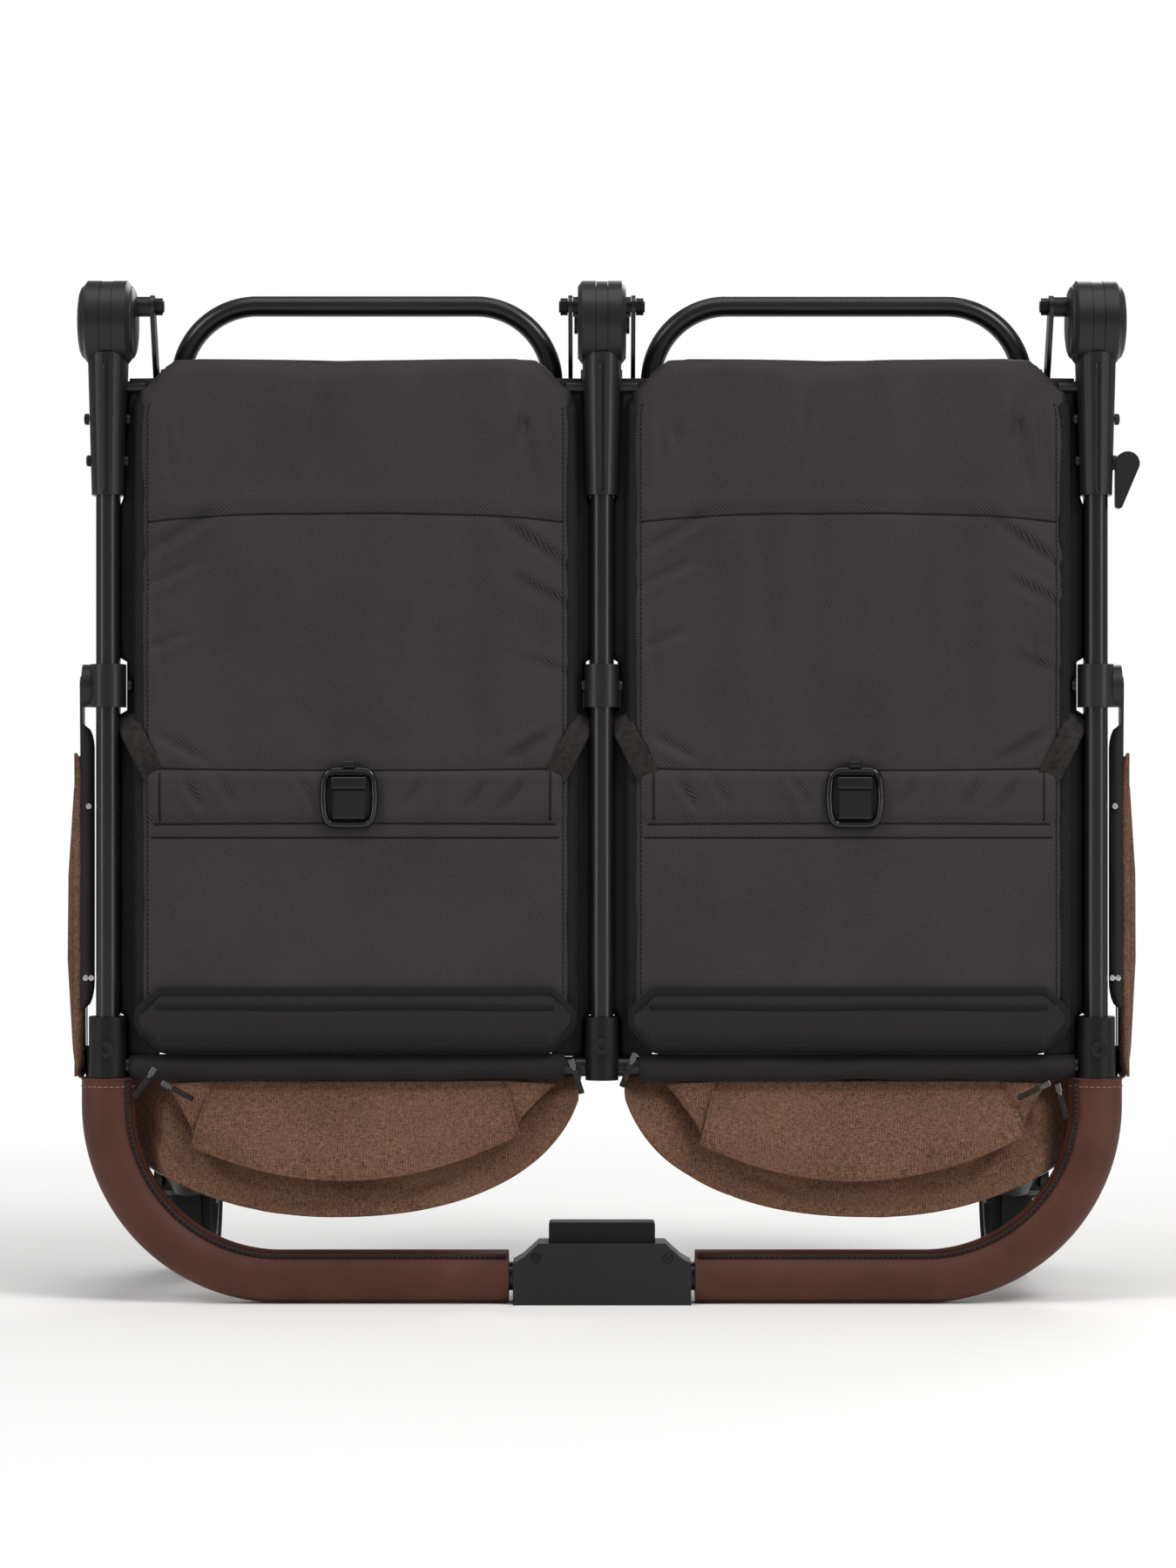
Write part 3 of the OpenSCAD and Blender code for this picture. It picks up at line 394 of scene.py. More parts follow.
# Each crease is a groove with a soft ridge along one side, faded out towards its ends
def creaseDepth(creases, x, z):
    total = 0.0
    for x0, z0, x1, z1, width, depth in creases:
        dx, dz = x1 - x0, z1 - z0
        run = math.hypot(dx, dz)
        along = ((x - x0) * dx + (z - z0) * dz) / run
        if -width < along < run + width:
            away = ((x - x0) * dz - (z - z0) * dx) / run
            if abs(away) < 3 * width:
                fade = smoothStep(-width, 0.35 * run, along) * smoothStep(run + width, 0.6 * run, along)
                total += depth * fade * (bell(away, width * 0.5) - 0.6 * bell(away - width, width * 0.6))
    return total


def backOutline(u, spec):
    top = spec["top"] - spec["shoulder"] * smoothStep(0.82, 1.0, abs(u))
    low = spec["low"] + 12 * max(0.0, (abs(u) - 0.9) / 0.1) ** 2
    return low, top


# Seams, the strap's tunnel, gathers, hanging folds and creases on the outer face of a seat back
def clothRelief(x, z, spec, seed):
    u = abs(x) / spec["halfWidth"]
    seam = spec["seamZ"] - 7 * u ** 3
    inside = smoothStep(0.99, 0.93, u)
    relief = 1.5 * bell(z - seam, 2.4) * inside - 0.8 * bell(z - seam - 9, 6) * inside
    tunnel = smoothStep(spec["tunnelLow"] - 2, spec["tunnelLow"] + 5, z)
    tunnel *= smoothStep(spec["tunnelTop"] + 1, spec["tunnelTop"] - 6, z)
    relief -= 2.4 * tunnel * smoothStep(0.97, 0.92, u)
    relief += 1.8 * bell(z - spec["tunnelTop"] - 1, 2.2) * inside + 1.1 * bell(z - spec["hemZ"], 2.0) * inside
    relief += 0.9 * bell(z - spec["tunnelLow"] + 2, 1.8) * inside
    gather = math.sin(x * 0.31 + seed) * math.sin(x * 0.127 + 2 * seed)
    relief += 1.1 * gather * bell(z - spec["tunnelTop"] - 9, 11) + 0.8 * gather * tunnel
    drape = smoothStep(spec["tunnelTop"] + 4, spec["tunnelTop"] + 40, z) * smoothStep(0.98, 0.8, u)
    sway = x + 10 * noise.noise(Vector((x * 0.01, z * 0.012, seed + 4)))
    relief += drape * (2.3 * math.sin(sway * 0.074 + seed) + 0.8 * math.sin(sway * 0.173 + 2 * seed))
    relief += 2.0 * creaseDepth(spec["creases"], x, z)
    relief += 1.5 * noise.noise(Vector((x * 0.012, z * 0.008, seed)))
    relief += 0.5 * noise.noise(Vector((x * 0.04, z * 0.03, seed)))
    return relief


# Outline of the panel with rounded corners, drawn in by a margin
def panelPath(spec, inset):
    half = spec["halfWidth"] - inset
    count, rise = spec["edgeSteps"], spec["sideSteps"]
    foot = [(half * u / count, backOutline(u / count, spec)[0] + inset) for u in range(-count, count + 1)]
    head = [(half * u / count, backOutline(u / count, spec)[1] - inset) for u in range(count, -count - 1, -1)]
    low, high = foot[-1][1], head[0][1]
    right = [(half, low + (high - low) * i / rise) for i in range(1, rise)]
    path = foot + right + head + [(-x, z) for x, z in reversed(right)]
    for _ in range(5):
        path = [((path[i - 1][0] + path[i][0] + path[(i + 1) % len(path)][0]) / 3,
            (path[i - 1][1] + path[i][1] + path[(i + 1) % len(path)][1]) / 3) for i in range(len(path))]
    return path


# The outline without its top edge: down the left side, along the foot and up the right side
def openEdge(path, spec):
    side = spec["sideSteps"] - 1
    span = 2 * spec["edgeSteps"] + 1
    return path[2 * span + side:] + path[:span + side]


# Points on the outer face of the cloth, found by looking at it from behind the stroller
def laidOn(cloth, middle, path, proud):
    hits = [(cloth.ray_cast(at(middle + x, -60, z), Vector((0, 1, 0)))[0], at(middle + x, -8, z)) for x, z in path]
    return [(hit or missed) - Vector((0, proud / 1000, 0)) for hit, missed in hits]


def makeSeatBack(side, s):
    spec = seatBack
    bm = bmesh.new()
    bmesh.ops.create_grid(bm, x_segments=spec["columns"], y_segments=spec["rows"], size=1.0)
    bmesh.ops.extrude_face_region(bm, geom=bm.faces[:])
    bm.verts.ensure_lookup_table()
    sheet = (spec["columns"] + 1) * (spec["rows"] + 1)
    for i, v in enumerate(bm.verts):
        u, t = v.co.x, (v.co.y + 1) / 2
        low, top = backOutline(u, spec)
        end = abs(2 * t - 1) ** 10
        bulge = (0.5 + 0.5 * math.cos(u * math.pi / 2) ** 0.5) * (1 - 0.5 * end)
        front = 1 - spec["crown"] * bulge
        rear = 1 + (spec["depth"] - spec["crown"]) * bulge
        v.co = at(s * backX + spec["halfWidth"] * u, front if i < sheet else rear, low + (top - low) * t)
    bmesh.ops.recalc_face_normals(bm, faces=bm.faces)
    skin = puffed("seatBackPad", bm, spec["voxel"], spec["pressure"], spec["cap"], spec["slack"])
    bmesh.ops.subdivide_edges(skin, edges=skin.edges, cuts=1, use_grid_fill=True, smooth=0.0)
    middleY = (1 - depthMid) / 1000
    for v in skin.verts:
        if v.co.y < middleY - 0.002:
            x, z = v.co.x * 1000 - s * backX, v.co.z * 1000
            v.co.y += clothRelief(x, z, spec, 3.1 * s) / 1000
    for _ in range(2):
        bmesh.ops.smooth_vert(skin, verts=skin.verts, factor=0.4, **allAxes)
    reach, height = spec["shoulderFrom"]
    shoulders = [v for v in skin.verts if abs(v.co.x * 1000 - s * backX) > reach and v.co.z * 1000 > height]
    for _ in range(12):
        bmesh.ops.smooth_vert(skin, verts=shoulders, factor=0.5, **allAxes)
    cloth = BVHTree.FromBMesh(skin)
    piece = addPiece("seatBack." + side, skin, twill, "seat_back_" + side, ["back_" + side])
    sewSeatBack(side, s * backX, cloth)


# Bound edge: a flat folded tape down both sides and round the foot, with a stitch line along its inner edge;
# at the top the cloth itself turns over the frame, and the tape's ends are tucked in there
def sewSeatBack(side, middle, cloth):
    spec = seatBack
    body = "seat_back_" + side
    rim = laidOn(cloth, middle, openEdge(panelPath(spec, spec["tapeInset"]), spec), 0.3)
    last = len(rim) - 1
    for i, p in enumerate(rim):
        span = rim[max(0, i - 8):i + 9]
        level = sum(q.y for q in span) / len(span)
        tuck = 0.003 * max(0, 2 - min(i, last - i))
        rim[i] = Vector((p.x, level + tuck, p.z))
    addCordMesh("seatBackBinding." + side, rim, spec["tapeRadius"] / 1000, tape, body, False, 0.5)
    inner = laidOn(cloth, middle, openEdge(panelPath(spec, spec["stitchInset"]), spec), 0.1)
    addStitches("seatBackStitch." + side, inner, thread, body, 0.0034, 0.0005)
    seams = {name: [(x, height - dip * abs(x / spec["halfWidth"]) ** 3) for x in range(-reach, reach + 1, 4)]
        for name, height, dip, reach in spec["seams"]}
    for name, x in (("endLeft", -spec["tunnelEnd"]), ("endRight", spec["tunnelEnd"])):
        seams[name] = [(x, z) for z in range(int(spec["tunnelLow"]), int(spec["tunnelTop"]), 3)]
    for name, path in seams.items():
        line = laidOn(cloth, middle, path, 0.05)
        addCordMesh("seatBackSeam." + name + "." + side, line, 0.0007, thread, body)


# Black side cloth between a seat back and its uprights, mm from the panel's middle; narrower beside collars and necks
sideCloth = {"from": 137.0, "to": 164.0, "narrow": 158.6, "low": 172.2, "high": 646.0, "thick": 0.0012,
    "collar": (414.0, 448.0), "neck": 562.0, "taper": 0.038, "bracket": 199.0, "tapeFrom": 155.2}


# Outer edge of the side cloth at a height, drawn in beside the brackets, collars and tapered necks
def sideEdge(z, spec):
    low, high = spec["collar"]
    free = smoothStep(spec["bracket"], spec["bracket"] + 4, z)
    free *= 1 - smoothStep(low - 3, low, z) * smoothStep(high + 3, high, z)
    edge = spec["narrow"] + (spec["to"] - spec["narrow"]) * free
    return edge - smoothStep(spec["neck"] - 5, spec["neck"], z) * (2.7 + spec["taper"] * (z - spec["neck"]))


def makeSideCloth(side, s):
    spec = sideCloth
    for turn, name in ((-1, "a"), (1, "b")):
        def clothPoint(u, t, turn=turn):
            f = (u + 1) / 2
            z = spec["high"] + (spec["low"] - spec["high"]) * t
            wave = 0.8 * noise.noise(Vector((turn * 3.0, z * 0.025, s)))
            x = spec["from"] + (sideEdge(z, spec) - spec["from"]) * f
            return at(s * backX + turn * x, -1.5 + 3.0 * f + wave, z)

        # Edge tape that stays on the upright when the seat back is let down, just behind the side cloth
        def tapePoint(u, t, turn=turn):
            f = (u + 1) / 2
            z = spec["high"] - 8 + (spec["low"] + 7 - spec["high"]) * t
            inner, outer = spec["tapeFrom"], sideEdge(z, spec) + 1.9
            return at(s * backX + turn * (inner + (outer - inner) * f), 4.0 + 6.0 * f, z)

        addSheet("seatSideCloth." + name + "." + side, 6, 150, clothPoint, spec["thick"], twillDark,
            "seat_back_" + side)
        addSheet("uprightTape." + name + "." + side, 6, 150, tapePoint, spec["thick"], twillDark,
            "handle")


# Rolled zip flap along the foot of each seat back, mm
zipFlap = {"half": 150.0, "low": 181.0, "top": 217.0, "front": -15.5, "thick": 6.0, "corner": 15.0, "cut": 1.75,
    "tape": 3.4, "zipHalf": 138, "zipTape": 2.4}


def flapOutline(spec, grow, count):
    points = []
    half, top, low, corner = spec["half"] + grow, spec["top"] + grow, spec["low"] - grow, spec["corner"]
    for cx, cz, start in ((half, top, 0), (-half, top, 90), (-half, low, 180), (half, low, 270)):
        for i in range(count):
            a = math.radians(start + 90 * i / (count - 1))
            ox = cx - math.copysign(corner, cx)
            oz = cz - corner if cz == top else cz + corner
            cx1, cz1 = (math.copysign(abs(f) ** spec["cut"], f) for f in (math.cos(a), math.sin(a)))
            points.append((ox + corner * cx1, oz + corner * cz1))
    return points


def makeZipFlap(side, s):
    spec = zipFlap
    body = "seat_back_" + side
    bm = bmesh.new()
    ring = [bm.verts.new(at(s * backX + x, spec["front"], z)) for x, z in flapOutline(spec, 0, 9)]
    bm.faces.new(ring)
    bmesh.ops.inset_region(bm, faces=bm.faces[:], thickness=0.004, depth=0.0)
    back = bmesh.ops.extrude_edge_only(bm, edges=[e for e in bm.edges if e.is_boundary])
    moved = [g for g in back["geom"] if isinstance(g, bmesh.types.BMVert)]
    bmesh.ops.translate(bm, verts=moved, vec=(0, spec["thick"] / 1000, 0))
    bmesh.ops.triangulate(bm, faces=[f for f in bm.faces if len(f.verts) > 4])
    bmesh.ops.subdivide_edges(bm, edges=bm.edges[:], cuts=3, use_grid_fill=True)
    for v in bm.verts:
        x, z = v.co.x * 1000 - s * backX, v.co.z * 1000
        if v.co.y < (spec["front"] + 1 - depthMid) / 1000:
            middle = (spec["low"] + spec["top"]) / 2
            puff = 1.6 * bell(z - middle + 4, 13) + 0.5 * math.sin(x * 0.05) - 1.2 * bell(z - spec["top"] + 12, 1.6)
            v.co.y -= puff / 1000
    bmesh.ops.recalc_face_normals(bm, faces=bm.faces)
    addPiece("zipFlap." + side, bm, twillDark, body)
    loop = [at(s * backX + x, spec["front"] + 1.5, z) for x, z in flapOutline(spec, 0.5, 9)]
    addCordMesh("zipFlapBinding." + side, loop, spec["tape"] / 1000, tape, body, True, 0.8)
    zipLine = [at(s * backX + x, spec["front"] - 0.6, spec["top"] - 10 + 0.5 * math.sin(x * 0.04))
        for x in range(-spec["zipHalf"], spec["zipHalf"] + 1, 6)]
    addCordMesh("zipFlapTape." + side, zipLine, spec["zipTape"] / 1000, tape, body, False, 0.6)


for sideName, sign in sides.items():
    makeSeatBack(sideName, sign)
    makeZipFlap(sideName, sign)
print("seat backs made")

# Folded hood, mm: the same rounded outline as the bow that carries it; the creases are given as on the seat backs
hood = {"middle": 188.9, "half": 177.0, "start": 178.0, "low": 61.0, "round": 2.3, "outerRound": 2.0,
    "outerRise": 42.0, "hem": 157.0, "front": -9.0, "lean": 21.0, "lowShare": 0.36,
    "behindGrip": 26.0, "rear": 60.0, "pleats": 3, "pleatDepth": 36.0, "columns": 110, "rows": 90, "cloth": 0.0014,
    "creases": [(-118, 150, -60, 84, 9, 3.0), (-140, 140, -104, 92, 8, 2.6), (116, 152, 70, 92, 9, 2.6),
        (138, 150, 116, 112, 7, 2.2), (-70, 74, 10, 68, 6, 1.6), (-20, 86, 60, 84, 7, 1.4), (40, 74, 96, 92, 6, 1.6)]}


def hoodFloor(u, spec):
    power = spec["outerRound"] if u < 0 else spec["round"]
    return spec["start"] - (spec["start"] - spec["low"]) * (1 - abs(u) ** power) ** (1 / power)


# The hood's outer face falls from its hem to the foot of the bundle, then pleats lie behind it
def hoodPoint(u, t, s, spec):
    floor = hoodFloor(u, spec)
    behind = smoothStep(0.64, 0.79, -u)
    y0 = spec["front"] + (spec["behindGrip"] - spec["front"]) * behind
    top = max(floor + 6, spec["hem"] + spec["outerRise"] * smoothStep(0.71, 0.77, -u))
    lowShare = spec["lowShare"]
    offset = spec["half"] * u
    if t < lowShare:
        f = t / lowShare
        fall = math.sin(f * math.pi / 2)
        z = top + (floor - top) * fall ** 1.15
        y = y0 + (spec["lean"] * (1 - fall ** 1.3) - 3.0 * math.sin(math.pi * f) ** 2) * (1 - behind)
        relief = creaseDepth(spec["creases"], offset, z)
        relief += 2.2 * noise.noise(Vector((offset * 0.014, z * 0.03, 7.0 * s)))
        y += relief * (1 - behind) * math.sin(math.pi * f) ** 0.5
    else:
        f = (t - lowShare) / (1 - lowShare)
        lift = spec["pleatDepth"] * (0.5 - 0.5 * math.cos(2 * math.pi * spec["pleats"] * f))
        z = floor + lift * min(1.0, (top - floor) / 70)
        y = y0 + (spec["rear"] - y0) * f
        z += 1.2 * noise.noise(Vector((offset * 0.03, y * 0.05, 3.0 * s)))
    return at(s * (spec["middle"] - offset), y, z)


# Hood cloth: its placement is baked into its mesh
def blendHood(piece):
    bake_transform(piece)


# Rear flap of each hood, from its place in the photograph: upper corners, lower corners and the sag between
rearFlap = {
    "left": {"top": ((243, 1241), (580, 1241)), "foot": ((224, 1313), (596, 1299)), "sag": 45},
    "right": {"top": ((822, 1241), (1150, 1241)), "foot": ((804, 1311), (1174, 1300)), "sag": 46}}


def makeHood(side, s):
    spec = hood
    piece = addSheet("hood." + side, spec["columns"], spec["rows"],
        lambda u, t: hoodPoint(0.972 * math.sin(u * math.pi / 2), t, s, spec),
        spec["cloth"], melange, stands=["canopy_" + side])
    blendHood(piece)

    flap = rearFlap[side]
    (tx0, ty0), (tx1, ty1) = flap["top"]
    (fx0, fy0), (fx1, fy1) = flap["foot"]
    curlFrom = 0.94  # share of the fall after which the hem turns up

    def flapPoint(u, t):
        w = (u + 1) / 2
        fall = min(1.0, t / curlFrom)
        curl = max(0.0, (t - curlFrom) / (1 - curlFrom))
        px = (tx0 + (tx1 - tx0) * w) * (1 - fall) + (fx0 + (fx1 - fx0) * w) * fall
        foot = fy0 + (fy1 - fy0) * w + flap["sag"] * (1 - u * u)
        py = (ty0 + (ty1 - ty0) * w) * (1 - fall) + foot * fall - 7 * curl
        roll = 1.4 * math.sin(px * 0.021 + s) * math.sin(math.pi * fall)
        roll += 1.2 * noise.noise(Vector((px * 0.01, py * 0.03, s)))
        y = 3.0 - 28.0 * smoothStep(0.0, 0.78, fall) + 4.0 * u * u * fall + 5 * curl
        return photoPoint(px, py, y + roll * smoothStep(0.0, 0.3, fall))

    rear = addSheet("hoodRearFlap." + side, 70, 34, flapPoint, 0.0018, melange)
    blendHood(rear)
    hem = [flapPoint(-1, t / 20) for t in range(0, 19)] + [flapPoint(-1 + i / 20, 0.945) for i in range(0, 41)]
    hem += [flapPoint(1, t / 20) for t in range(18, -1, -1)]
    hem = [p + Vector((0, -0.0006, 0)) for p in hem]
    cord = addCordMesh("hoodFlapHem." + side, hem, 0.0011, melange, None)
    blendHood(cord)

    # Triangular side folds between the flap and the ends of the bundle
    for end, name in ((-1, "a"), (1, "b")):
        topX = tx0 if end < 0 else tx1
        footX, footY = (fx0, fy0) if end < 0 else (fx1, fy1)
        reach = 52 if (end < 0) == (s < 0) else 58

        def foldPoint(u, t, topX=topX, footX=footX, footY=footY, end=end, reach=reach):
            w = (u + 1) / 2
            upper = (topX + end * reach * w, ty0 + 3 * w)
            lower = (footX - end * 6 + end * 10 * w * (1 - w) * 2, footY - 8 - 4 * w)
            px = upper[0] * (1 - t) + lower[0] * t
            py = upper[1] * (1 - t) + lower[1] * t
            return photoPoint(px, py, 2.0 - 5.0 * math.sin(math.pi * w) * (1 - t) - 17.0 * smoothStep(0.0, 0.9, t))

        fold = addSheet("hoodSideFold." + name + "." + side, 16, 20, foldPoint, 0.0016, melange)
        blendHood(fold)


# Side wings outside the uprights, mm in the YZ plane: a capsule between two rounds, each by y, z and radius;
# the facings by near and far x, high and low z, and depth
wing = {"x0": 366.6, "x1": 374.6, "upper": (26.0, 359.0, 21.0), "lower": (30.0, 180.0, 23.0),
    "facings": [("hoodWingFacing", 362.8, 368.4, 384.0, 158.0, 5.0, melange, "brown_melange"),
        ("hoodGusset", 354.8, 363.4, 404.0, 205.0, 3.0, twillDark, "black_twill")]}


def makeWing(side, s):
    spec = wing
    outline = arc(*spec["upper"], range(0, 181, 12)) + arc(*spec["lower"], range(180, 361, 12))
    bm = bmesh.new()
    rim = [bm.verts.new(at(s * spec["x0"], y, z)) for y, z in outline]
    bm.faces.new(rim)
    grown = bmesh.ops.extrude_face_region(bm, geom=bm.faces[:])
    lifted = [g for g in grown["geom"] if isinstance(g, bmesh.types.BMVert)]
    bmesh.ops.translate(bm, verts=lifted, vec=(s * (spec["x1"] - spec["x0"]) / 1000, 0, 0))
    bmesh.ops.bevel(bm, geom=[e for e in bm.edges if all(v in lifted for v in e.verts)], offset=0.006, segments=4,
        profile=0.5, affect="EDGES", material=-1)
    bmesh.ops.triangulate(bm, faces=[f for f in bm.faces if len(f.verts) > 4])
    bmesh.ops.subdivide_edges(bm, edges=bm.edges[:], cuts=2, use_grid_fill=True)
    for v in bm.verts:
        z = v.co.z * 1000
        full = 0.22 + 0.78 * smoothStep(382, 322, z) * (0.3 + 0.7 * smoothStep(157, 222, z))
        v.co.x = s * (spec["x0"] + (abs(v.co.x) * 1000 - spec["x0"]) * full) / 1000
        v.co.x += s * 0.0007 * full * noise.noise(Vector((v.co.y * 60, v.co.z * 26, s)))
    bmesh.ops.recalc_face_normals(bm, faces=bm.faces)
    body = addPiece("hoodWing." + side, bm, melange, None)
    blendHood(body)
    loop = [at(s * (spec["x0"] + 0.6), y, z) for y, z in outline]
    edge = addCordMesh("hoodWingBinding." + side, loop, 0.0022, tape, None, True)
    blendHood(edge)

    # Facing of the wing, and the black gusset beside the upright, both with round ends
    for name, near, far, high, low, depth, mat, slotName in spec["facings"]:
        def facingPoint(u, t, near=near, far=far, high=high, low=low, depth=depth):
            head = math.sqrt(max(0.0, 1 - (1 - min(1.0, t / 0.09)) ** 2))
            foot = math.sqrt(max(0.0, 1 - max(0.0, (t - 0.9) / 0.1) ** 2))
            f = (u + 1) / 2
            x = far - f * (0.5 + (far - near - 0.5) * head * foot)
            z = high + (low - high) * t
            y = depth - 6.0 * math.sin(math.pi * (0.25 + 0.6 * f)) + 1.2 * noise.noise(Vector((f, z * 0.02, s)))
            return at(s * x, y, z)

        facing = addSheet(name + "." + side, 10, 50, facingPoint, 0.0012, mat)
        blendHood(facing)


# Black lining rolled round the crossbar under each seat back, mm
liningRoll = {"from": 26.0, "to": 330.0, "y": -1.0, "z": 164.5, "radius": 8.6, "steps": 60, "segments": 16}


def makeLiningRoll(side, s):
    spec = liningRoll
    bm = bmesh.new()
    ring = bmesh.ops.create_circle(bm, segments=spec["segments"], radius=spec["radius"] / 1000)["verts"]
    bmesh.ops.rotate(bm, verts=ring, cent=(0, 0, 0), matrix=Matrix.Rotation(math.pi / 2, 3, "Y"))
    start = at(s * spec["from"], spec["y"], spec["z"])
    bmesh.ops.translate(bm, verts=ring, vec=start)
    front = bm.edges[:]
    step = s * (spec["to"] - spec["from"]) / 1000 / spec["steps"]
    for i in range(spec["steps"]):
        made = bmesh.ops.extrude_edge_only(bm, edges=front)["geom"]
        front = [g for g in made if isinstance(g, bmesh.types.BMEdge)
            and all(abs(v.co.x - (start.x + step * i)) < 1e-5 for v in g.verts)]
        moved = {v for e in front for v in e.verts}
        bmesh.ops.translate(bm, verts=list(moved), vec=(step, 0, 0))
    for v in bm.verts:
        away = Vector((0, v.co.y - start.y, v.co.z - start.z))
        bump = 0.5 + 1.2 * noise.noise(Vector((v.co.x * 30, v.co.y * 60, v.co.z * 60)))
        low = 1.8 * noise.noise(Vector((v.co.x * 17, 0.3, s))) if away.z < 0 else 0.0
        v.co += away.normalized() * bump / 1000 + Vector((0, 0, low / 1000))
    bmesh.ops.recalc_face_normals(bm, faces=bm.faces)
    piece = addPiece("liningRoll." + side, bm, twillDark, "handle")
    solid = piece.modifiers.new("thickness", "SOLIDIFY")
    solid.thickness = 0.0008


for sideName, sign in sides.items():
    makeHood(sideName, sign)
    makeWing(sideName, sign)
    makeLiningRoll(sideName, sign)
print("hoods made")

# Recline webbing from the tunnel's ends to the uprights, mm from the panel's middle, its ends by x, z and y
reclineWeb = {"width": 16.0, "upper": (161.0, 409.0, -4.0), "lower": (138.0, 364.0, -8.5), "bow": 5.0,
    "thick": 0.0016, "tube": 8.6}


def makeReclineWeb(side, s):
    spec = reclineWeb
    ux, uz, uy = spec["upper"]
    lx, lz, ly = spec["lower"]
    for end, name in ((-1, "outer"), (1, "inner")):
        turn = end if s < 0 else -end
        along = Vector((turn * (ux - lx), uz - lz)).normalized()
        across = Vector((along.y, -along.x)) * spec["width"] / 2

        def webPoint(u, t, turn=turn, across=across):
            x = turn * (ux + (lx - ux) * t) + across.x * u
            z = uz + (lz - uz) * t + across.y * u
            y = uy + (ly - uy) * t - spec["bow"] * math.sin(math.pi * t)
            limit = (track - backX if turn * s > 0 else backX) - spec["tube"]
            x = max(-limit, min(limit, x))
            return at(s * backX + x, y, z)

        piece = addSheet("reclineWeb." + name + "." + side, 8, 20, webPoint, spec["thick"], webbing,
            stands=["recline_strap_" + side] if end < 0 else [])
        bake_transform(piece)


# Cam buckle on each tunnel, mm: bowed frame, and blocks for the lever, its lip, the cross bar and the tongue,
# each block by its size, depth and height
buckle = {"x": 4.0, "z": 353.0, "half": 15.5, "high": 19.0, "bow": 2.6, "wire": 2.6, "y": -17.0, "points": 64,
    "blocks": [((23.0, 5.0, 21.0), -1.0, -4.5), ((25.0, 7.0, 8.5), -2.2, 10.0), ((30.0, 4.0, 4.0), 1.0, 17.0),
        ((9.0, 5.0, 5.0), -1.0, 23.0)]}


def makeBuckle(side, s):
    spec = buckle
    body = "seat_back_" + side
    middle = s * (backX + spec["x"])
    ring = []
    for i in range(spec["points"]):
        a = 2 * math.pi * i / spec["points"]
        c, d = math.cos(a), math.sin(a)
        x = math.copysign(abs(c) ** 0.3, c) * spec["half"]
        z = math.copysign(abs(d) ** 0.3, d) * spec["high"]
        x += math.copysign(spec["bow"], c) * (1 - (z / spec["high"]) ** 2) * min(1.0, abs(c) * 3)
        ring.append(at(middle + x, spec["y"] + 1.2 * (z / spec["high"]) ** 2, spec["z"] + z))
    addCordMesh("buckleFrame." + side, ring, spec["wire"] / 1000, glossPlastic, body, True, 1.25,
        stands=["recline_buckle_" + side])
    bm = bmesh.new()
    for size, dy, dz in spec["blocks"]:
        addBlock(bm, Matrix.Translation(at(middle, spec["y"] + dy, spec["z"] + dz)), size, 1.3, 3)
    for v in bm.verts:
        high = v.co.z * 1000 - spec["z"]
        if -15 < high < 7 and v.co.y < (spec["y"] - 2 - depthMid) / 1000:
            v.co.y += 0.0016 * bell(v.co.x * 1000 - middle, 8)
    addPiece("buckleLever." + side, bm, glossPlastic, body, smooth=False)


# Leatherette sleeves: dark whipped seam along the inside of the bend, tan line at the top hem, mm
gripSeam = {"bend": 120.0, "barZ": 18.5, "inset": 14.8, "depth": -11.4, "top": 155.0, "end": 67.0, "hemZ": 151.5,
    "radius": 18.75, "rollZ": 156.4, "rollRadius": 17.6}


def makeGripSeam(side, s):
    spec = gripSeam
    radius = spec["bend"] - spec["inset"]
    bend = arc(track - spec["bend"], spec["barZ"] + spec["bend"], radius, range(0, -91, -3))
    path = [at(s * (track - spec["inset"]), spec["depth"], z) for z in (spec["top"], spec["top"] - 8)]
    path += [at(s * x, spec["depth"], z) for x, z in bend]
    path += [at(s * x, spec["depth"], spec["barZ"] + spec["inset"]) for x in (200.0, 160.0, 110.0, spec["end"])]
    addCordMesh("gripSeam." + side, path, 0.0026, leatherEdge, "handle")
    lifted = [p + Vector((0, -0.0021, 0)) for p in path]
    addStitches("gripWhipping." + side, lifted, thread, "handle", 0.0036, 0.0007, 1.0)
    hem = [at(s * track + x, y, spec["hemZ"]) for x, y in arc(0.0, 0.0, spec["radius"], range(0, 361, 6))]
    addStitches("gripHemStitch." + side, hem, threadTan, "handle", 0.0042, 0.00035)
    rolled = [at(s * track + x, y, spec["rollZ"]) for x, y in arc(0.0, 0.0, spec["rollRadius"], range(0, 360, 8))]
    addCordMesh("gripHem." + side, rolled, 0.0013, leather, "handle", True)


# Button head with a rounded rim and a sunk recess, mm
def addButton(bm, place, axis, radius, height):
    turn = Vector(axis).to_track_quat("Z", "Y").to_matrix().to_4x4()
    made = bmesh.ops.create_cone(bm, cap_ends=True, segments=20, radius1=radius / 1000, radius2=radius / 1000,
        depth=height / 1000, matrix=Matrix.Translation(place) @ turn)["verts"]
    middle = sum((v.co for v in made), Vector()) / len(made)
    ahead = Vector(axis)
    rim = {e for v in made for e in v.link_edges if all((w.co - middle).dot(ahead) > 0 for w in e.verts)}
    bmesh.ops.bevel(bm, geom=list(rim), offset=min(radius, height) * 0.00045, segments=3, profile=0.5,
        affect="EDGES", material=-1)
    near = [f for f in bm.faces if (f.calc_center_median() - place).length < radius / 500]
    cap = max(near, key=lambda f: (f.calc_center_median() - place).dot(ahead))
    bmesh.ops.inset_individual(bm, faces=[cap], thickness=radius * 0.00035, depth=0.0)
    bmesh.ops.inset_individual(bm, faces=[cap], thickness=0.0001, depth=-height * 0.00035)


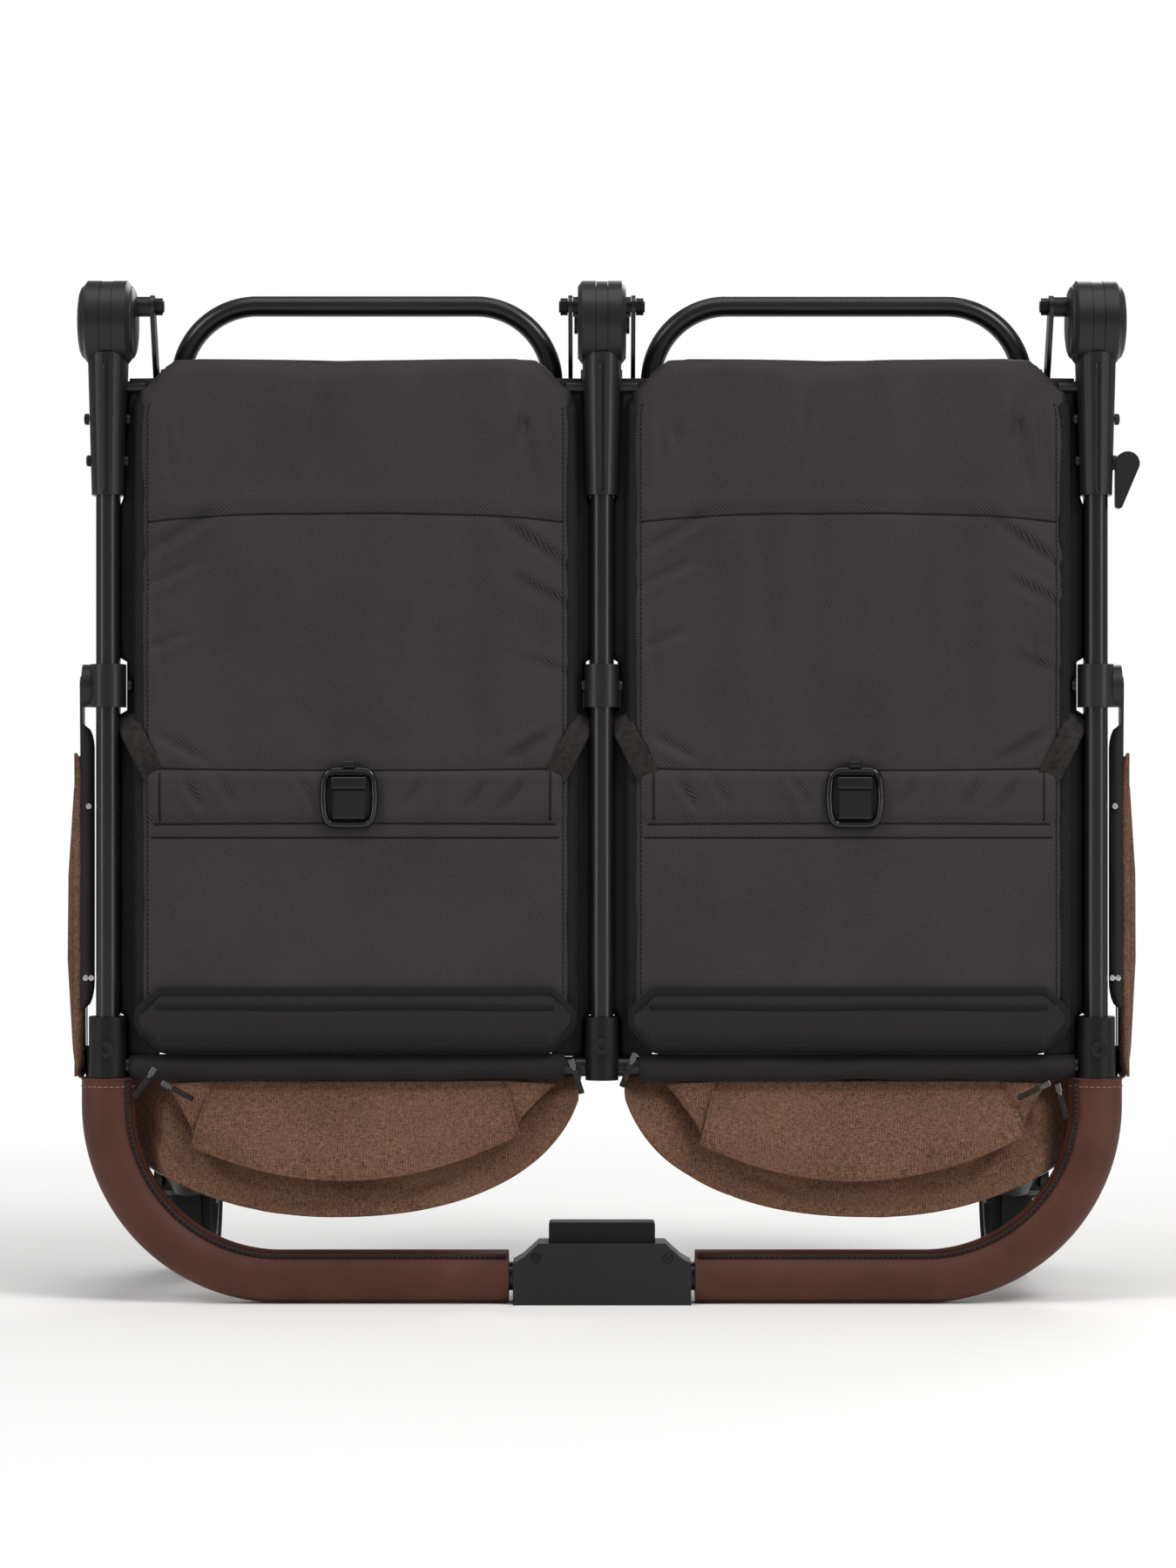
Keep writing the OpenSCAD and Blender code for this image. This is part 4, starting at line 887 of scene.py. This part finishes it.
# Small fasteners, mm: button heads on the necks and housing, domed caps on the hanger bolts, snaps on the wings;
# a head is its radius and height
fasteners = {"neckZ": (617.0, 588.0), "neckFoot": 564.0, "neckHalf": 12.1, "neckTaper": 0.05, "neckHead": (4.0, 3.2),
    "housing": (46.0, -20.8, 33.0), "housingHead": (3.4, 2.4), "hangerZ": 431.0, "outerCap": (4.6, 4.0),
    "innerCap": (4.4, 3.6), "snaps": ((358.2, 347.0), (360.4, 227.0), (356.4, 227.0)), "snapHead": (2.2, 1.6)}


def makeFasteners():
    spec = fasteners
    bm = bmesh.new()
    for s in (-1, 1):
        for z in spec["neckZ"]:
            half = spec["neckHalf"] + (z - spec["neckFoot"]) * spec["neckTaper"]
            for out in (-1, 1):
                addButton(bm, at(s * track + out * half, -4.0, z), (out, 0, 0), *spec["neckHead"])
        x, y, z = spec["housing"]
        addButton(bm, at(s * x, y, z), (0, -1, 0), *spec["housingHead"])
        addButton(bm, at(s * (track - 15.5), 0.0, spec["hangerZ"]), (-s, 0, 0), *spec["outerCap"])
        addButton(bm, at(s * 13.0, -3.0, spec["hangerZ"]), (s, 0, 0), *spec["innerCap"])
    addPiece("blackScrews", bm, blackened, "handle", smooth=False)
    for side, s in sides.items():
        bm = bmesh.new()
        for x, z in spec["snaps"]:
            addButton(bm, at(s * x, -3.8, z), (0, -1, 0), *spec["snapHead"])
        snaps = addPiece("wingSnaps." + side, bm, nickel, None, smooth=False)
        blendHood(snaps)


# Hinge trim, mm: domed cheeks on the outer heads, washers in the slots, and a mould seam down the front of each neck
hingeTrim = {"z": 685.0, "radius": 25.4, "face": 16.6, "rise": 3.9, "segments": 48,
    "dome": [(0.0, 1.0), (0.4, 0.98), (0.66, 0.9), (0.84, 0.7), (0.94, 0.42), (0.99, 0.16), (1.0, -0.1), (0.0, -0.1)],
    "washer": 4.15, "washerRadius": 25.5, "washerThick": 0.2, "seamLow": 566, "seamTop": 656, "seamLean": 570,
    "seams": [("neckSeamRib.", -1.4, 0.9, moulded), ("neckSeamLine.", 0.9, 0.55, thread)]}


def makeHingeTrim():
    spec = hingeTrim
    bm = bmesh.new()
    for s in (-1, 1):
        for out in (-1, 1):
            half = [(s * track + out * (spec["face"] + spec["rise"] * h), spec["radius"] * r) for r, h in spec["dome"]]
            verts = [bm.verts.new(at(x, y, spec["z"])) for x, y in half]
            edges = [bm.edges.new(pair) for pair in zip(verts, verts[1:])]
            bmesh.ops.spin(bm, geom=verts + edges, cent=at(0, 0, spec["z"]), axis=(1, 0, 0), angle=2 * math.pi,
                steps=spec["segments"], use_merge=True)
    bmesh.ops.remove_doubles(bm, verts=bm.verts, dist=0.00005)
    bmesh.ops.recalc_face_normals(bm, faces=bm.faces)
    addPiece("hingeDomes", bm, moulded, "handle")
    bm = bmesh.new()
    wide, thick = spec["washerRadius"] / 1000, spec["washerThick"] / 1000
    for x in (-track, 0.0, track):
        for offset in (-spec["washer"], spec["washer"]):
            place = Matrix.Translation(at(x + offset, 0, spec["z"])) @ Matrix.Rotation(math.pi / 2, 4, "Y")
            made = bmesh.ops.create_cone(bm, cap_ends=True, segments=spec["segments"], radius1=wide, radius2=wide,
                depth=thick, matrix=place)
            caps = list({f for v in made["verts"] for f in v.link_faces if len(f.verts) > 4})
            bmesh.ops.inset_region(bm, faces=caps, thickness=0.002, depth=0.0)
    addPiece("frictionWashers", bm, mouldedDark, "handle", smooth=False)
    heights = range(spec["seamLow"], spec["seamTop"] + 1, 6)
    for name, x in (("left", -track), ("center", 0.0), ("right", track)):
        for seam, offset, radius, mat in spec["seams"]:
            line = [at(x + offset, -17.0 - 2.8 * max(0.0, z - spec["seamLean"]) / 94, z) for z in heights]
            addCordMesh(seam + name, line, radius / 1000, mat, "handle")


# Zip sliders and their cord pulls at the lower corners of the seat backs: photograph pixels and lean in degrees,
# then each slider's blocks in mm by size and drop
zips = {"y": -18.5, "edge": 0.7,
    "places": [(178, 1228, 35), (193, 1243, -62), (657, 1219, -18), (727, 1212, 22), (1198, 1243, 64),
        (1212, 1247, -15)],
    "sliders": [((4.2, 3.0, 6.4), 0.0), ((2.6, 1.4, 6.4), -5.0)], "pulls": [((4.0, 2.2, 17.0), -13.5)]}


def makeZips():
    spec = zips
    metal = bmesh.new()
    pulls = bmesh.new()
    for px, py, lean in spec["places"]:
        turn = Matrix.Translation(photoPoint(px, py, spec["y"])) @ Matrix.Rotation(math.radians(lean), 4, "Y")
        for bm, blocks in ((metal, spec["sliders"]), (pulls, spec["pulls"])):
            for size, drop in blocks:
                proud = 0.0006 if drop else 0.0
                addBlock(bm, turn @ Matrix.Translation((0, -proud, drop / 1000)), size, spec["edge"], 2)
    addPiece("zipSliders", metal, gunmetal, "handle", smooth=False)
    addPiece("zipPullCords", pulls, webbing, "handle", smooth=False)


# Seat pads on the hoops, mm: quilted channels across, crowned towards the sitter
seatPad = {"middle": 167.0, "half": 120.5, "low": 454.0, "high": 643.0, "y": 56.0, "front": 11.0, "rear": 6.0,
    "channels": 4, "quilt": 3.2, "columns": 44, "rows": 36, "voxel": 0.005, "pressure": 4.0, "cap": 0.006, "slack": 0.4}


def makeSeatPad(side, s):
    spec = seatPad
    tall = spec["high"] - spec["low"]
    bm = bmesh.new()
    bmesh.ops.create_grid(bm, x_segments=spec["columns"], y_segments=spec["rows"], size=1.0)
    sheet = len(bm.verts)
    bmesh.ops.extrude_face_region(bm, geom=bm.faces[:])
    for i, v in enumerate(bm.verts):
        u, t = v.co.x, (v.co.y + 1) / 2
        end = max(abs(u) ** 8, abs(2 * t - 1) ** 8)
        pull = 1 - 0.03 * (1 - u * u) * abs(2 * t - 1) ** 3
        x = spec["half"] * u * (1 - 0.018 * math.sin(math.pi * t) ** 2)
        z = spec["low"] + tall * (0.5 + (t - 0.5) * pull)
        y = spec["y"] - (spec["front"] if i < sheet else -spec["rear"]) * (1 - 0.65 * end)
        v.co = at(s * spec["middle"] + x, y, z)
    bmesh.ops.recalc_face_normals(bm, faces=bm.faces)
    skin = puffed("seatPadShape", bm, spec["voxel"], spec["pressure"], spec["cap"], spec["slack"])
    bmesh.ops.subdivide_edges(skin, edges=skin.edges, cuts=1, use_grid_fill=True, smooth=0.0)
    pitch = tall / spec["channels"]
    for v in skin.verts:
        z = v.co.z * 1000 - spec["low"]
        nearest = abs((z / pitch + 0.5) % 1 - 0.5) * pitch
        inside = smoothStep(4, 14, z) * smoothStep(4, 14, tall - z)
        facing = 1 if v.co.y * 1000 + depthMid < spec["y"] else -1
        v.co.y += facing * spec["quilt"] / 1000 * bell(nearest, 3.0) * inside
    piece = addPiece("seatPad." + side, skin, twill, "seats", ["seat_pad_" + side])
    edge = []
    for c, d in arc(0.0, 0.0, 1.0, range(0, 360, 3)):
        x = max(-1.0, min(1.0, 1.3 * c)) * (spec["half"] - 0.5)
        z = (spec["low"] + spec["high"]) / 2 + max(-1.0, min(1.0, 1.4 * d)) * tall / 2
        edge.append(at(s * spec["middle"] + x, spec["y"] - 2.0, z))
    addCordMesh("seatPadPiping." + side, edge, 0.0022, tape, "seats", True)


# Shopping pouch, mm: lofted shell that sags between the legs, with a bound mouth
pouch = {"half": 276.0, "front": 106.5, "rear": 125.0, "low": 229.0, "high": 428.0, "rows": 30, "points": 72}


def pouchRing(f, spec):
    sag = math.sin(math.pi * min(1.0, f + 0.08))
    ring = []
    for i in range(spec["points"]):
        a = 2 * math.pi * i / spec["points"]
        c, d = math.cos(a), math.sin(a)
        x = math.copysign(abs(c) ** 0.25, c) * (spec["half"] - 6 * sag)
        depth = (spec["rear"] - spec["front"]) / 2
        y = (spec["front"] + spec["rear"]) / 2 + math.copysign(abs(d) ** 0.5, d) * (depth - 2 + 1.6 * sag)
        y += 1.2 * noise.noise(Vector((x * 0.02, f * 5, d)))
        droop = (7 * (1 - f) + 9 * f) * math.cos(math.pi * x / 2 / spec["half"])
        ring.append((x, y, spec["low"] + (spec["high"] - spec["low"]) * f - droop + 7))
    return ring


def makePouch():
    spec = pouch
    bm = bmesh.new()
    first = [bm.verts.new(at(*p)) for p in pouchRing(0.0, spec)]
    bm.faces.new(first)
    edges = bm.edges[:]
    for row in range(1, spec["rows"] + 1):
        made = bmesh.ops.extrude_edge_only(bm, edges=edges)["geom"]
        fresh = [g for g in made if isinstance(g, bmesh.types.BMVert)]
        edges = [g for g in made if isinstance(g, bmesh.types.BMEdge) and all(v in fresh for v in g.verts)]
        for v, p in zip(fresh, pouchRing(row / spec["rows"], spec)):
            v.co = at(*p)
    bmesh.ops.triangulate(bm, faces=[f for f in bm.faces if len(f.verts) > 4])
    bmesh.ops.recalc_face_normals(bm, faces=bm.faces)
    area = sum(f.calc_area() for f in bm.faces)
    piece = addPiece("shoppingPouch", bm, twillDark, "chassis", ["basket"])
    solid = piece.modifiers.new("thickness", "SOLIDIFY")
    solid.thickness = 0.0014
    mouth = [at(*p) for p in pouchRing(1.0, spec)]
    addCordMesh("pouchMouthBinding", mouth, 0.0022, tape, "chassis", True)


for sideName, sign in sides.items():
    makeSideCloth(sideName, sign)
    makeReclineWeb(sideName, sign)
    makeBuckle(sideName, sign)
    makeGripSeam(sideName, sign)
    makeSeatPad(sideName, sign)
makeFasteners()
makeHingeTrim()
makeZips()
makePouch()
print("trim made")

# Stage: pale floor that fades into a white surround, and soft boxes at both sides, above and behind, each by its
# place, width and height in metres and its power in watts
stage = {"floorSize": 6.0, "floorColour": "#fbfaf9", "fade": (0.55, 1.5), "worldLight": 0.34, "aim": (0, 0, 0.35),
    "softBoxes": [((-1.9, -1.8, 2.3), 1.0, 1.0, 20.0), ((1.6, -1.9, 2.5), 1.0, 1.0, 40.0),
        ((0.0, -0.6, 2.6), 1.6, 1.6, 16.0), ((0.8, 2.3, 1.9), 1.4, 1.4, 24.0),
        ((-2.2, -1.5, 0.5), 0.4, 1.5, 11.0), ((2.2, -1.7, 0.5), 0.4, 1.5, 13.0)]}


# Painted floor: matt off-white that takes the object's shadow and shows no gloss; further out it is plain white
def makeFloor():
    bm = bmesh.new()
    bmesh.ops.create_circle(bm, cap_ends=True, segments=96, radius=stage["floorSize"])
    mesh = bpy.data.meshes.new("studioFloor")
    bm.to_mesh(mesh)
    bm.free()
    floor = bpy.data.objects.new("studioFloor", mesh)
    bpy.context.collection.objects.link(floor)
    mat, tree, shader, spot = startMaterial("matteStudioFloor", 0.9, 0.0, 0.0)
    shader.inputs["Base Color"].default_value = linear(stage["floorColour"])
    far = addNode(tree, "ShaderNodeVectorMath", {"operation": "LENGTH"}, i0=spot)
    near, end = stage["fade"]
    fade = addNode(tree, "ShaderNodeMapRange", {"From Min": near, "From Max": end}, Value=far.outputs["Value"])
    white = addNode(tree, "ShaderNodeEmission", {"Color": (1, 1, 1, 1), "Strength": 1.0})
    clear = addNode(tree, "ShaderNodeBsdfTransparent")
    path = addNode(tree, "ShaderNodeLightPath")
    seen = addNode(tree, "ShaderNodeMath", {"operation": "MAXIMUM"}, i0=path.outputs["Is Camera Ray"],
        i1=path.outputs["Is Glossy Ray"])
    beyond = addNode(tree, "ShaderNodeMixShader", None, i0=seen.outputs[0], i1=clear.outputs[0], i2=white.outputs[0])
    mix = addNode(tree, "ShaderNodeMixShader", None, i0=fade.outputs[0], i1=shader.outputs[0], i2=beyond.outputs[0])
    tree.links.new(mix.outputs[0], tree.nodes["Material Output"].inputs["Surface"])
    mesh.materials.append(mat)


def makeWorld():
    world = bpy.data.worlds.new("whiteStudio")
    bpy.context.scene.world = world
    world.use_nodes = True
    tree = world.node_tree
    tree.nodes.clear()
    path = addNode(tree, "ShaderNodeLightPath")
    seen = addNode(tree, "ShaderNodeMath", {"operation": "MAXIMUM"}, i0=path.outputs["Is Camera Ray"],
        i1=path.outputs["Is Transmission Ray"])
    light = addNode(tree, "ShaderNodeBackground", {"Color": (1, 1, 1, 1), "Strength": stage["worldLight"]})
    shown = addNode(tree, "ShaderNodeBackground", {"Color": (1, 1, 1, 1), "Strength": 1.0})
    mix = addNode(tree, "ShaderNodeMixShader", None, i0=seen.outputs[0], i1=light.outputs[0], i2=shown.outputs[0])
    addNode(tree, "ShaderNodeOutputWorld", None, Surface=mix.outputs[0])


def makeSoftBoxes():
    target = Vector(stage["aim"])
    for i, (place, wide, high, power) in enumerate(stage["softBoxes"]):
        lamp = bpy.data.lights.new("softBox" + str(i), "AREA")
        lamp.shape = "RECTANGLE"
        lamp.size = wide
        lamp.size_y = high
        lamp.energy = power
        holder = bpy.data.objects.new(lamp.name, lamp)
        holder.location = place
        holder.rotation_euler = (target - Vector(place)).to_track_quat("-Z", "Y").to_euler()
        bpy.context.collection.objects.link(holder)


# Camera: square on to the seat backs with a long lens; distance and frame height at the uprights in metres, aim in mm
photoView = {"far": 3.3, "frameHigh": 1.0962, "sensor": 36.0, "x": -9.7, "z": 362.4}


def makeCamera():
    spec = photoView
    lens = bpy.data.cameras.new("photoCamera")
    lens.sensor_fit = "VERTICAL"
    lens.sensor_height = spec["sensor"]
    lens.lens = spec["sensor"] * spec["far"] / spec["frameHigh"]
    lens.dof.use_dof = False
    camera = bpy.data.objects.new("photoCamera", lens)
    camera.location = at(spec["x"], 0, spec["z"]) + Vector((0, -spec["far"], 0))
    camera.rotation_euler = (math.pi / 2, 0, 0)
    bpy.context.collection.objects.link(camera)
    bpy.context.scene.camera = camera


makeFloor()
makeWorld()
makeSoftBoxes()
makeCamera()
bpy.context.scene.view_settings.view_transform = "Standard"
print("stage set")
